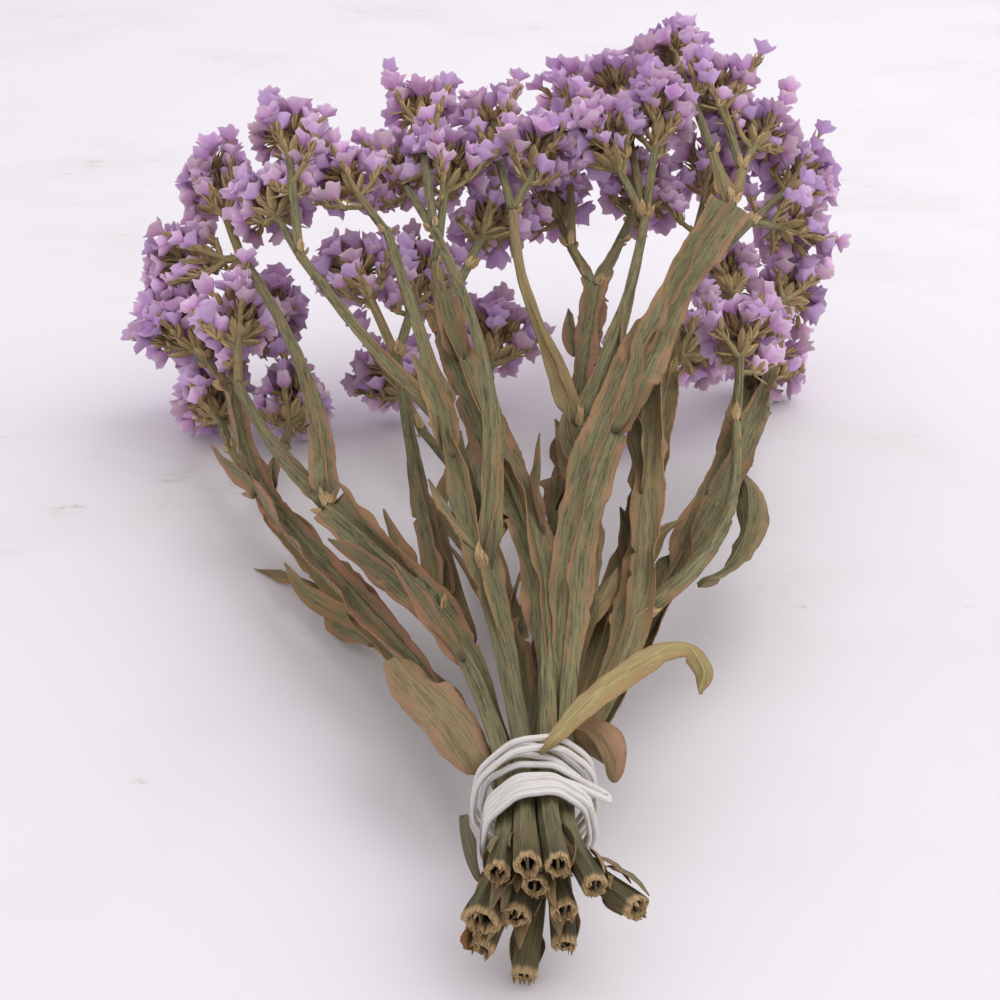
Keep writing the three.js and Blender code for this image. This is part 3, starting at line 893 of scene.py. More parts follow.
@dataclass(frozen=True)
class DryPlant:
    """Dried stem or leaf: lengthwise fibres, coloured margin, blotches, specks, torn or cut places, painted
    shade in cut hollows.
    """

    name: str
    pale: str = "8f8a63"
    deep: str = "55523c"
    margin: str = "a58659"
    blush: str = "b07d66"
    dark: str = "352d1f"
    cut: str = "c9ab7c"
    # painted shade, nearly black, deep in the hollow of a cut end
    hollow_shade: str = "1f150d"
    glow: str = "b5b08a"
    blush_share: float = 0.35
    margin_share: float = 0.75
    fibre: float = 1.5

    def make(self) -> Material:
        """Makes the material."""
        b = Bench(self.name)
        margin, along, own = b.split(b.read("tone"))
        cut = b.read("tone", "Alpha")
        grain = b.read("grain")
        fibres = b.noise(b.stretched(grain, (self.fibre, 0.045, 1)), 1.6, 4, 0.62)
        fine = b.noise(b.stretched(grain, (3.4, 0.16, 1)), 2.1, 2, 0.6)
        blotch = b.noise(b.stretched(grain, (0.35, 0.12, 1)), 0.8, 4, 0.6)
        specks = b.noise(b.stretched(grain, (1, 0.8, 1)), 2.2, 3, 0.7)
        body = b.ramp(fibres, [(0.3, self.deep), (0.48, self.pale), (0.6, self.deep), (0.72, self.pale)])
        body = b.mix(b.rise(fine, 0.56, 0.72) * 0.35, body, self.glow)
        body = b.mix(b.rise(blotch, 0.5, 0.7) * 0.45, body, self.margin)
        edge = b.rise(margin + (blotch - 0.5) * 1.5 + (fine - 0.5) * 0.3, 0.45, 1.05) * self.margin_share
        body = b.mix(edge, body, self.margin)
        pink = b.rise(margin * 0.45 + blotch * 1.0 + (fine - 0.5) * 0.2, 0.62, 0.95) * self.blush_share
        body = b.mix(pink, body, self.blush)
        body = b.mix(b.rise(specks, 0.64, 0.74) * 0.55, body, self.dark)
        body = b.mix(b.rise(margin + (specks - 0.5) * 0.8, 0.93, 1.12) * 0.5, body, self.dark)
        body = b.mix((fine - 0.42) * 0.5, body, self.dark, "OVERLAY")
        body = b.mix(b.rise(own, 0.55, 1.0) * 0.4, body, self.margin)
        body = b.mix(b.rise(own, 0.4, 0.0) * 0.3, body, self.deep)
        body = b.mix(b.rise(along + (blotch - 0.5) * 0.1, 0.11, 0.0) * 0.6, body, self.dark)
        # the colour of a cut face; the deepest rings of a cut end's hollow are painted in shade, nearly black
        cut_face_and_hollow_shade = b.ramp(fine, [(0.3, self.dark), (0.55, self.cut)])
        cut_face_and_hollow_shade = b.mix(b.rise(cut, 0.62, 0.95), cut_face_and_hollow_shade, self.hollow_shade)
        body = b.mix(b.rise(cut, 0.12, 0.3), body, cut_face_and_hollow_shade)
        rough = 0.62 + fibres * 0.3
        return b.done(body, rough, fibres * 0.7 + fine * 0.35 + specks * 0.2, 0.35, Specular_IOR_Level=0.25)


@dataclass(frozen=True)
class Calyx:
    """Papery flower: a straw tube with green ribs that opens into a pleated lilac cup with a pale margin; the
    cup's inner wall is painted darker as shade.
    """

    name: str = "papery_calyx"
    deep: str = "c07fbd"
    lilac: str = "e6b4e4"
    pale: str = "f7def3"
    cool: str = "d2b6ec"
    tube: str = "c0ab7e"
    rib: str = "827848"

    def make(self) -> Material:
        """Makes the material."""
        b = Bench(self.name)
        pleat, along, own = b.split(b.read("tone"))
        inside = b.read("tone", "Alpha")
        grain = b.read("grain")
        cloud = b.noise(b.stretched(grain, (0.5, 0.35, 1)), 1.0, 3, 0.6)
        veins = b.noise(b.stretched(grain, (3.0, 0.25, 1)), 1.8, 2, 0.5)
        cup = b.ramp(along + (cloud - 0.5) * 0.35, [(0.5, self.deep), (0.72, self.lilac), (1.0, self.pale)])
        cup = b.mix(b.rise(own, 0.35, 0.9) * 0.65, cup, self.cool)
        cup = b.mix(b.rise(veins, 0.5, 0.7) * 0.35, cup, self.deep)
        cup = b.mix(b.rise(own, 0.3, 0.05) * 0.35, cup, "a8937a")
        tube = b.mix(b.rise(pleat, 0.35, 0.75), self.tube, self.rib)
        colour = b.mix(b.rise(along + (cloud - 0.5) * 0.2, 0.42, 0.58), tube, cup)
        # painted shade: the inner wall of the cup is darkened towards the deep colour
        colour = b.mix(inside * 0.3, colour, self.deep)
        height = veins * 0.6 + pleat * 0.4
        return b.done(colour, 0.75, height, 0.15, Specular_IOR_Level=0.2, Sheen_Weight=0.15)


@dataclass(frozen=True)
class Elastic:
    """Flat white elastic: covered rubber threads side by side, a little soiled, with painted shade in the
    grooves between them.
    """

    name: str = "white_elastic"
    white: str = "ece9e5"
    # the painted shade of the grooves between the threads, also used for the weave marks
    groove: str = "b9b3ab"
    soil: str = "cfc4b0"

    def make(self) -> Material:
        """Makes the material."""
        b = Bench(self.name)
        groove, along, own = b.split(b.read("tone"))
        grain = b.read("grain")
        weave = b.noise(b.stretched(grain, (2.2, 2.6, 1)), 2.0, 2, 0.5)
        soil = b.noise(b.stretched(grain, (0.3, 0.12, 1)), 1.2, 3, 0.6)
        # painted shade in the grooves between the threads
        colour = b.mix(b.rise(groove, 0.35, 1.0) * 0.55, self.white, self.groove)
        colour = b.mix(b.rise(soil, 0.52, 0.72) * 0.5, colour, self.soil)
        colour = b.mix(b.rise(weave, 0.55, 0.75) * 0.22, colour, self.groove)
        return b.done(colour, 0.7 + weave * 0.2, weave - groove * 0.8, 0.12, Specular_IOR_Level=0.3)


@dataclass(frozen=True)
class PaintedTable:
    """White painted board with faint worn specks."""

    name: str = "painted_table"
    white: str = "f3f1f5"
    worn: str = "d9d6cf"
    speck: str = "b9b4a6"

    def make(self) -> Material:
        """Makes the material."""
        b = Bench(self.name)
        place = Socket(b, b.node("ShaderNodeNewGeometry", {}, {}).outputs["Position"])
        cloud = b.noise(place, 9, 3, 0.55)
        streaks = b.noise(b.stretched(place, (18, 60, 1)), 1.0, 4, 0.7)
        dots = b.noise(b.stretched(place, (70, 130, 1)), 1.0, 3, 0.6)
        colour = b.mix(b.rise(cloud, 0.45, 0.75) * 0.25, self.white, self.worn)
        patches = b.rise(cloud + (streaks - 0.5) * 0.6, 0.56, 0.74)
        colour = b.mix(b.rise(dots + (cloud - 0.5) * 0.5, 0.7, 0.8) * 0.45, colour, self.speck)
        colour = b.mix(patches * b.rise(dots, 0.5, 0.66) * 0.35, colour, self.worn)
        return b.done(colour, 0.6, streaks * 0.5 + dots * 0.5, 0.25, Specular_IOR_Level=0.25)


# ---------------------------------------------------------------- stems


class Grown:
    """What a stem and a flower head share: a mesh, random numbers of their own, waves and scales."""

    SEED = 0
    seed: int

    def __post_init__(self) -> None:
        """Starts the mesh and the random numbers."""
        self.skin, self.rng = Skin(), np.random.default_rng(self.SEED + self.seed)

    def _waves(self, run: Array, grain: float) -> Array:
        """Smooth random values along a length."""
        return wander(self.rng, run, grain)

    def _scale(
        self, root: Array, tip: Array, out: Array, half: Triple, thick: float, torn: float = 0.0,
        slot: int = 0, cut: float = 0.0,
    ) -> None:
        """Adds a small pointed scale.

        Args:
            root: where it starts.
            tip: where it ends.
            out: the direction that its back faces.
            half: the least and the greatest half width that it may have.
            thick: its thickness.
            torn: its share of torn edge.
            slot: the number of its material.
            cut: how far it looks like a cut place all over.
        """
        wide = self.rng.uniform(*half)
        Bract.add(self.skin, root, tip, out, wide, thick, (self.rng.random(), torn), slot, cut)


@dataclass
class Stem(Grown):
    """One stem with its branches, its twigs, its cut end and the small bracts at its forks."""

    plan: StemPlan
    lines: list[Line]
    seed: int
    ring_gap: float = 1.8
    wing_edge: float = 0.2
    hollow: float = 6.5
    waist: float = 10.0
    keel: float = 0.7
    keel_thick: float = 0.55
    flare_reach: float = 9.0
    side_leaves: int = 4
    fibres: int = 16
    scraps: int = 4

    SEED = 400
    WING = (1.0, 0.8, 0.55, 0.25)
    ANGLES = (22, 46, 68, 90, 112, 134, 158)
    RIBS = (1.0, 0.92, 1.05, 0.94, 1.05, 0.92, 1.0)
    KEEL_TURNS = (85, 100, -85)
    SCRAP_CUTS = (0.0, 0.0, 0.2)
    HOLLOW_DEPTHS = (0.25, 1.0, 1.0)
    RIM_SHARE = (0.3, 0.5, 0.58, 0.64, 0.74, 0.9)
    # how far each ring of a cut end belongs to the cut; the highest values, deepest in the hollow, paint
    # shade there
    RIM_CUT_AND_SHADE = (1.0, 1.0, 0.9, 0.72, 0.5, 0.45)

    def _limb(self, route: Array, core: Array, wing: Array, foot: bool) -> None:
        """Adds one winged length of stem.

        Args:
            route: the points of its line.
            core: the half width of its core at each.
            wing: the half width of its wings at each.
            foot: whether it starts with a cut end.
        """
        curve = Curve(route)
        count = max(6, int(curve.length / self.ring_gap))
        points = curve.spaced(count)
        run = run_of(points)
        u = run / run[-1]
        knots = run_of(route) / run_of(route)[-1]
        core, wing = np.interp(u, knots, core), np.interp(u, knots, wing)
        track = Track.rolled(points, self.plan.roll + self.plan.twist * u + 13 * self._waves(run, 40))
        core = core * (1 + 0.05 * self._waves(run, 9))
        if foot:
            core = core * (1 + (self.plan.flare - 1) * smooth(self.flare_reach, 0, run))
        right, left = (self._wing(wing, core, run) for _ in range(2))
        across, above, edge = self._outline(core, right, left, run)
        tone = stacked(edge, u[:, None], self.rng.random(), 0.0)
        self._keel(track, core, wing)
        if foot:
            track, across, above, tone = self._cut_end(track, across, above, tone)
        grain = stacked(across, track.run[:, None], 7 * self.seed + self.skin.count % 97)
        self.skin.tube(track.rings(across, above), tone, grain)

    def _keel(self, track: Track, core: Array, wing: Array) -> None:
        """Adds the third wing, which stands on the back of a winged length.

        Args:
            track: the line of the stem.
            core: the half width of its core.
            wing: the half width of its other wings.
        """
        if wing.max() < core.max() + 0.5:
            return
        turn = np.radians(self.rng.choice(self.KEEL_TURNS) + 14 * self._waves(track.run, 40))[:, None]
        side = turned(track.side, track.up, turn)
        line = Track(track.points, track.along, side, np.cross(side, track.along), track.run)
        high = core * 0.8 + self.keel * (self._wing(wing, core, track.run) - core)
        waves = 0.35 * self._waves(track.run, 22) + 0.15 * self._waves(track.run, 7)
        x = np.linspace(1, -1, 7)
        lift = high[:, None] * waves[:, None] * np.maximum(x, 0) ** 1.6
        self.skin.strip(line, stacked(high, 0.3 * core), lift, self.keel_thick, (self.rng.random(), 0.0))

    def _wing(self, wing: Array, core: Array, run: Array) -> Array:
        """The worn width of one wing.

        Args:
            wing: its half width when whole.
            core: the half width of the core.
            run: the length run.

        Returns:
            Its half width, never less than a ridge on the core.
        """
        worn = 1 + 0.2 * self._waves(run, 17) + 0.05 * self._waves(run, 4.5) + 0.02 * self._waves(run, 2)
        bites = 1 - 0.4 * smooth(0.85, 0.97, self._waves(run, 5))
        return np.maximum(wing * worn * bites, core * 1.07)

    def _outline(
        self, core: Array, right: Array, left: Array, run: Array
    ) -> tuple[Array, Array, Array]:
        """The ring of points round the stem at each place along it.

        Args:
            core: the half width of the core.
            right: the half width of the wing on that side.
            left: the same on the other side.
            run: the length run.

        Returns:
            How far each point lies across and above, and how near it is to a margin.
        """
        q = np.array(self.WING)
        halves = []
        for wide in (right, left):
            span = (wide - core)[:, None]
            curl = np.radians(16 + 34 * self._waves(run, 38))[:, None]
            crinkle = (0.3 * self._waves(run, 9) + 0.12 * self._waves(run, 4))[:, None]
            out = core[:, None] + span * q * np.cos(curl)
            lift = span * (q**1.3 * np.sin(curl) + q**2 * crinkle)
            body = self.wing_edge + (0.44 * core[:, None] - self.wing_edge) * (1 - q) ** 2
            halves.append((out, lift, body))
        angles = np.radians(self.ANGLES)
        over, under = (np.array(self.RIBS) * (1 + 0.06 * self.rng.normal(size=len(angles))) for _ in range(2))
        over_x, under_x = (core[:, None] * np.cos(angles) * ribs for ribs in (over, under))
        over_z, under_z = (core[:, None] * np.sin(angles) * ribs for ribs in (over, under))
        (rx, rl, rb), (lx, ll, lb) = halves
        top_x, low_x = (np.hstack([rx, x, -lx[:, ::-1]]) for x in (over_x, under_x))
        top_z = np.hstack([rl + rb, over_z, (ll + lb)[:, ::-1]])
        low_z = np.hstack([rl - rb, -under_z, (ll - lb)[:, ::-1]])
        ridge = 0.12 * (1.0 - np.array(self.RIBS)) / 0.08
        level = np.concatenate([q, ridge, q[::-1]])
        across = np.hstack([top_x, low_x[:, ::-1]])
        above = np.hstack([top_z, low_z[:, ::-1]])
        winged = smooth(0.3, 1.6, np.maximum(right, left) - core)[:, None]
        edge = np.concatenate([level, level[::-1]])
        return across, above, edge * np.where(np.abs(edge) > 0.2, winged, 1)

    def _cut_end(
        self, track: Track, across: Array, above: Array, tone: Array
    ) -> tuple[Track, Array, Array, Array]:
        """Opens the cut end with a hollow and a ragged rim.

        Args:
            track: the stem's line.
            across: how far its points lie across.
            above: how far they lie above.
            tone: their values.

        Returns:
            The same four with the rings of the hollow put before them.
        """
        deep = self.hollow * self.rng.choice(self.HOLLOW_DEPTHS)
        depth = np.array([deep, 0.6 * deep, 0.25 * deep, 0.12 * deep, 0.1, -0.15])
        share = np.array(self.RIM_SHARE)[:, None]
        start, away = track.points[0], track.along[0]
        points = np.vstack([start + away * depth[:, None], track.points])
        lead = len(depth)
        ways = (track.along, track.side, track.up)
        led = (np.vstack([np.repeat(way[:1], lead, 0), way]) for way in ways)
        ragged = 1 + 0.13 * self.rng.uniform(-1, 1, (lead, across.shape[1]))
        first_x, first_z = across[0] / (1 + 0.12 * (np.abs(across[0]) > 2.2)), above[0]
        across = np.vstack([first_x * share * ragged, across])
        above = np.vstack([first_z * share * ragged, above])
        added = np.repeat(tone[:1], lead, 0)
        # the deepest rings of the hollow take painted shade, the rings near the rim the colour of the cut
        added[..., 3] = np.array(self.RIM_CUT_AND_SHADE)[:, None]
        tone = np.vstack([added, tone])
        tone[lead : lead + 2, :, 3] = [[0.35], [0.14]]
        run = np.concatenate([track.run[0] - np.linspace(4, 0.5, lead), track.run])
        return Track(points, *led, run), across, above, tone

    def _rim_fray(self, cut: Array, along: Array, radius: float) -> None:
        """Adds loose fibres and splinters round a cut end.

        Args:
            cut: the middle of the cut.
            along: the direction of the stem there.
            radius: its half width.
        """
        sides = sides_of(along, UP)
        for angle in self.rng.uniform(0, 2 * math.pi, self.fibres):
            out = turned(*sides, angle)
            root = cut + out * radius * self.rng.uniform(0.6, 0.95) + along * 0.8
            tip = root - along * self.rng.uniform(1.2, 2.3) + out * self.rng.uniform(-0.5, 0.4)
            self._scale(root, tip, out, (0.18, 0.45), 0.14, cut=0.4)
        for angle in self.rng.uniform(0, 2 * math.pi, self.scraps):
            out = turned(*sides, angle)
            root = cut + out * (radius + 0.1) + along * self.rng.uniform(7, 15)
            tip = cut + out * (radius + self.rng.uniform(0.1, 0.8)) + along * self.rng.uniform(-0.5, 6)
            half, tone = self.rng.uniform(1.1, 2.1), (self.rng.random(), 0.0)
            Bract.add(self.skin, root, tip, out, half, 0.3, tone, cut=self.rng.choice(self.SCRAP_CUTS))

    def build(self, layout: Layout, finish: Material) -> Piece:
        """Builds the whole stem.

        Args:
            layout: the settled lines.
            finish: its material.

        Returns:
            The stem's object.
        """
        for line in self.lines:
            points, core, wing = line.points, line.core, line.wing
            if line.foot is not None:
                points = np.vstack([line.foot, points])
                core = np.concatenate([[SIZES.foot / 2, SIZES.stem / 2], core])
                wing = np.concatenate([[0, 0], wing])
                start = unit(points[1] - points[0])
                self._limb(points, core, wing, True)
                for place in self.rng.uniform(0.3, 0.95, self.side_leaves):
                    at, ahead = Curve(line.points).at(np.array([place - 0.02, place]))
                    self._side_leaf(at, unit(ahead - at))
                self._rim_fray(points[0], start, SIZES.foot / 2 * self.plan.flare)
            elif line.head:
                bare, base = Head.stalk(line)
                thin = np.linspace(core[0], SIZES.tip / 2, len(bare) + 1)
                self._limb(np.vstack([bare, base]), thin, 0 * thin, False)
                self._node(bare[0], unit(base - bare[0]), core[0], 2)
            else:
                fine = np.linspace(0, 1, 3 * len(points))
                knots = run_of(points) / run_of(points)[-1]
                dense = Curve(points).spaced(len(fine) - 1)
                core = np.interp(fine, knots, core)
                wing = np.interp(fine, knots, wing) * smooth(1.5, self.waist, fine * run_of(points)[-1])
                self._limb(dense, core, wing, False)
                self._node(points[0], unit(points[1] - points[0]), core[0], 3)
        return self.skin.piece(f"winged_stem_{self.plan.name}", layout.shift, [finish])

    def _side_leaf(self, at: Array, along: Array) -> None:
        """Adds a narrow dried leaf that leaves the stem at a low angle.

        Args:
            at: the middle of the stem where it leaves.
            along: the direction of the stem there.
        """
        beside, above = sides_of(along, UP)
        out = turned(beside, above, self.rng.uniform(0, 2 * math.pi))
        length = self.rng.uniform(24, 46)
        t = np.linspace(0, 1, 26)
        away = 1.2 + length * self.rng.uniform(0.12, 0.3) * t**1.4
        points = at + along * (length * t)[:, None] + out * away[:, None]
        points += beside * (0.08 * length * self._waves(length * t, 0.6 * length))[:, None]
        track = Track.facing(points, unit(out + 0.6 * self.rng.normal(size=3)))
        shape = self.rng.uniform(2.4, 4.0) * np.sin(math.pi * (0.12 + 0.86 * t**0.85))
        half = stacked(*(shape * (1 + 0.14 * self._waves(track.run, 6)) for _ in range(2)))
        x = np.linspace(1, -1, 7)
        waves = [self._waves(track.run, 7)[:, None] for _ in range(2)]
        folds = np.maximum(x, 0) ** 2 * waves[0] + np.maximum(-x, 0) ** 2 * waves[1]
        lift = shape[:, None] * (0.45 * x * x + 0.35 * folds)
        self.skin.strip(track, half, lift, 0.45, (self.rng.random(), 0.0))

    def _node(self, at: Array, along: Array, core: float, count: int) -> None:
        """Adds the short pointed bracts that sit where a branch leaves.

        Args:
            at: the middle of the fork.
            along: the direction of the branch.
            core: the half width of the stem there.
            count: how many there are.
        """
        sides = sides_of(along, UP)
        for angle in self.rng.uniform(0, 2 * math.pi, count):
            out = turned(*sides, angle)
            root = at + out * core * 0.8
            tip = root + along * self.rng.uniform(3.5, 7) + out * self.rng.uniform(1.0, 3.0)
            self._scale(root, tip, out, (0.8, 1.3), 0.3, cut=0.3)


class Bract:
    """A small pointed scale."""

    SHAPE = np.array([0.55, 0.95, 1.0, 0.6, 0.08])

    @classmethod
    def add(
        cls, skin: Skin, root: Array, tip: Array, out: Array, half: float, thick: float, tone: Triple,
        slot: int = 0, cut: float = 0.0,
    ) -> None:
        """Adds one scale to a mesh.

        Args:
            skin: the mesh.
            root: where it starts.
            tip: where it ends.
            out: the direction that its back faces.
            half: half its width.
            thick: its thickness.
            tone: its own value and its share of torn edge.
            slot: the number of its material.
            cut: how far it looks like a cut place all over.
        """
        u = np.linspace(0, 1, len(cls.SHAPE))[:, None]
        points = root + (tip - root) * u + out * (0.12 * np.linalg.norm(tip - root) * np.sin(math.pi * u))
        track = Track.facing(points, out)
        lift = np.array([[-0.35, 0.0, -0.35]]) * half * cls.SHAPE[:, None]
        skin.strip(track, half * cls.SHAPE, lift, thick, tone, slot)
        if cut:
            skin.tones[-1][:, 3] = cut


# ---------------------------------------------------------------- flower heads


@dataclass
class Head(Grown):
    """One flower head: short spikes that open from the end of a twig, each with a comb of papery flowers."""

    line: Line
    seed: int
    spikes: int = 5
    flowers: int = 5
    flower_length: float = 8.0
    flower_width: float = 8.6
    sides: int = 16
    side_spikes: int = 4
    comb_length: tuple[float, float] = (11, 19)
    comb_flowers: tuple[int, int] = (3, 6)
    comb_bracts: tuple[float, ...] = (0.12, 0.4)
    pleats: int = 5
    swing: float = 0.34
    torn: float = 0.6

    SEED = 9000
    DOME = (
        (0.0, 0.25, 0.5, 0.75, 1.0),
        (1.0, 0.96, 0.85, 0.66, 0.42),
        (0.12, 0.52, 0.85, 1.0, 0.9),
        (5, 26, 44, 62, 82),
    )
    OUTSIDE = ((0.0, 0.07), (0.2, 0.12), (0.42, 0.16), (0.6, 0.3), (0.75, 0.56), (0.88, 0.82), (1.0, 1.0))
    INSIDE = ((0.99, 0.93), (0.82, 0.66), (0.62, 0.26), (0.45, 0.06))

    @staticmethod
    def stalk(line: Line) -> tuple[Array, Array]:
        """Finds where the head on a twig begins.

        Args:
            line: the line of the twig.

        Returns:
            The bare points of the twig, and the point where its head begins.
        """
        middle = line.points[-1]
        far = np.linalg.norm(line.points - middle, axis=1) > SIZES.head_length / 2 + 3
        far[0] = True
        bare = line.points[far]
        along = unit(middle - bare[-1])
        return bare, middle - along * SIZES.head_length / 2

    def _flower(self, root: Array, axis: Array, size: float) -> None:
        """Adds one papery flower and the bracts round its tube.

        Args:
            root: where its tube starts.
            axis: the way it opens.
            size: its size against a full one.
        """
        side, up = sides_of(axis, self.rng.normal(size=3))
        profile = np.array(self.OUTSIDE + self.INSIDE)
        phi = circle(self.sides)
        open_ = profile[:, 1:] ** 1.2
        pleat = np.cos(self.pleats * phi + self.rng.uniform(0, 6))
        ruffle = np.cos(2 * self.pleats * phi + self.rng.uniform(0, 6))
        shape = 1 + open_ * (0.13 * pleat + 0.07 * ruffle + 0.06 * self.rng.normal(size=self.sides))
        radius = self.flower_width / 2 * size * profile[:, 1:] * shape
        squash = self.rng.uniform(0.5, 1.0)
        x = radius * np.cos(phi) + open_ * self.rng.normal(0, 0.3)
        z = radius * np.sin(phi) * (1 - (1 - squash) * open_)
        rim = open_ * (0.07 * pleat - 0.03 * ruffle + 0.035 * self.rng.normal(size=self.sides))
        height = (profile[:, :1] + rim) * self.flower_length * size
        rings = root + axis * height[..., None] + side * x[..., None] + up * z[..., None]
        own = self.rng.random()
        # marks the inner wall of the cup, which the finish paints darker as shade
        inside = (np.arange(len(profile)) >= len(self.OUTSIDE))[:, None]
        tone = stacked(0.5 + 0.5 * np.cos(self.pleats * phi), profile[:, :1], own, inside)
        grain = stacked(phi * 3, height, 50 * own + self.seed)
        self.skin.tube(rings, tone, grain, 0)
        for turn in self.rng.uniform(0, 2 * math.pi) + np.array([0, 2.3, 4.4]):
            out = turned(side, up, turn)
            low = root - axis * 1.2 + out * 0.45
            tip = low + axis * self.rng.uniform(3.6, 6.2) * size + out * self.rng.uniform(0.7, 1.9)
            self._scale(low, tip, out, (0.6, 1.0), 0.2, self.torn, 1)

    def build(self, layout: Layout, finishes: Sequence[Material]) -> Piece:
        """Builds the head.

        Args:
            layout: the settled lines.
            finishes: the materials of the flowers and of the bracts.

        Returns:
            The head's object.
        """
        _, base = self.stalk(self.line)
        axis = unit(self.line.points[-1] - base)
        side, up = sides_of(axis, self.rng.normal(size=3))
        long, wide = SIZES.head_length, SIZES.head_width / 2
        for spike in range(self.spikes):
            turn = 2 * math.pi * (spike + self.rng.uniform(-0.18, 0.18)) / self.spikes
            stretch = self.rng.uniform(0.82, 1.15)
            roots = [base - axis * 0.6]
            for k in range(self.flowers):
                down = (k + self.rng.uniform(0.1, 0.7)) / self.flowers
                apart = self.swing if k % 2 else -self.swing
                out = turned(side, up, turn + apart * min(1, 2 * down) + self.rng.uniform(-0.15, 0.15))
                height, radius, lean = (float(np.interp(down, self.DOME[0], row)) for row in self.DOME[1:])
                worn = stretch * self.rng.uniform(0.94, 1.04)
                tip = base + (axis * height * long + out * radius * wide) * worn
                lean = math.radians(lean + self.rng.uniform(-10, 10))
                facing = unit(axis * math.cos(lean) + out * math.sin(lean) + self.rng.normal(0, 0.1, 3))
                size = self.rng.uniform(0.85, 1.1)
                root = tip - facing * self.flower_length * size
                roots.append(root)
                self._flower(root, facing, size)
            self._spike(np.array([roots[0], (roots[0] + roots[2]) / 2, roots[2], roots[-1]]))
        for turn in self.rng.uniform(0, 6.3) + np.array([0, 1.3, 2.6, 3.9, 5.2]):
            out = turned(side, up, turn)
            low = base + out * 0.8 - axis * self.rng.uniform(0, 2)
            tip = low + axis * self.rng.uniform(5, 8) + out * self.rng.uniform(3, 7)
            self._scale(low, tip, out, (1.0, 1.7), 0.25, self.torn, 1)
        twig = Curve([*self.stalk(self.line)[0], base])
        for turn in self.rng.uniform(0, 6.3) + 2 * math.pi / self.side_spikes * np.arange(self.side_spikes):
            out = turned(side, up, turn)
            lean = math.radians(self.rng.uniform(32, 62))
            start = twig.at(np.array([self.rng.uniform(0.45, 0.97)]))[0]
            self._comb(start, axis * math.cos(lean) + out * math.sin(lean), unit(axis + UP * 0.4))
        return self.skin.piece(f"papery_head_{self.line.name}", layout.shift, finishes, 80)

    def _comb(self, start: Array, heading: Array, bend: Array) -> None:
        """Adds a side spike, with its flowers in a row along its upper side.

        Args:
            start: where it leaves the twig.
            heading: the way it sets out.
            bend: the way it bends and its flowers face.
        """
        length = self.rng.uniform(*self.comb_length)
        t = np.linspace(0, 1, 5)[:, None]
        route = start + length * (heading * t + 0.4 * bend * t**2)
        self._spike(route)
        curve = Curve(route)
        for place in np.linspace(0.5, 1.0, self.rng.integers(*self.comb_flowers)):
            at, ahead = curve.at(np.array([place - 0.05, place]))
            facing = unit(unit(ahead - at) * 0.8 + bend * 0.7 + self.rng.normal(0, 0.3, 3))
            self._flower(at, facing, self.rng.uniform(0.72, 0.98))
        for place in self.comb_bracts:
            low = curve.at(np.array([place]))[0]
            tip = low + unit(heading + self.rng.normal(0, 0.4, 3)) * self.rng.uniform(4, 7)
            self._scale(low, tip, unit(tip - low + UP), (0.7, 1.2), 0.22, self.torn, 1)

    def _spike(self, route: Array) -> None:
        """Adds the thin axis of a spike.

        Args:
            route: the points that it passes through.
        """
        points = Curve(route).spaced(7)
        track = Track.facing(points, unit(self.rng.normal(size=3)))
        phi = circle(7)
        radius = np.linspace(0.9, 0.5, len(points))[:, None]
        x, z = radius * np.cos(phi), radius * np.sin(phi)
        tone = stacked(0 * x, 0.5, self.rng.random(), 0.0)
        self.skin.tube(track.rings(x, z), tone, stacked(x, track.run[:, None], self.seed), 1)


# ---------------------------------------------------------------- leaves


@dataclass(frozen=True)
class Leaf:
    """A loose dried leaf: its way, its shape and its finish."""

    name: str
    width: float
    roll: float
    curl: float
    way: tuple[Triple, ...]
    finish: DryPlant
    in_fan: bool = False
    crinkle: float = 0.12
    thick: float = 0.5
    twist: float = 40.0
    columns: int = 11
    ring_gap: float = 1.1

    def build(self, layout: Layout, seed: int) -> Piece:
        """Builds the leaf.

        Args:
            layout: the settled lines.
            seed: the source of its crinkles.

        Returns:
            The leaf's object.
        """
        rng = np.random.default_rng(700 + seed)
        curve = Curve([SIZES.fan(p) if self.in_fan else SIZES.beside_tie(p) for p in self.way])
        points = curve.spaced(max(24, int(curve.length / self.ring_gap)))
        run = run_of(points)
        u = run / run[-1]
        track = Track.rolled(points, self.roll + self.twist * u)
        shape = self.width / 2 * (0.25 + 0.75 * np.sin(math.pi * (6 * u + 0.6) / 7.2))
        shape *= smooth(-0.02, 0.06, u) * smooth(1.02, 0.94, u) * 0.94 + 0.06
        worn = (1 + 0.14 * wander(rng, run, 9) + 0.05 * wander(rng, run, 2.6) for _ in range(2))
        half = stacked(*(shape * side for side in worn))
        x = np.linspace(1, -1, self.columns)
        dish = shape[:, None] * self.curl * 0.45 * (1 - x * x)
        waves = [wander(rng, run, g)[:, None] for g in (9, 9, 4, 4, 14)]
        folds = [np.maximum(way * x, 0) ** 2 * (2 * waves[k] + waves[k + 2]) for k, way in enumerate((1, -1))]
        lift = dish + shape[:, None] * self.crinkle * (folds[0] + folds[1])
        lift += 0.22 * np.cos(9 * x) * (1 - np.abs(x))
        lift += 0.35 * np.exp(-((x / 0.16) ** 2)) * (1 - 0.6 * u[:, None])
        skin = Skin()
        skin.strip(track, half, lift, self.thick, (rng.random(), 0.0))
        return skin.piece(f"dry_leaf_{self.name}", layout.shift, [self.finish.make()])


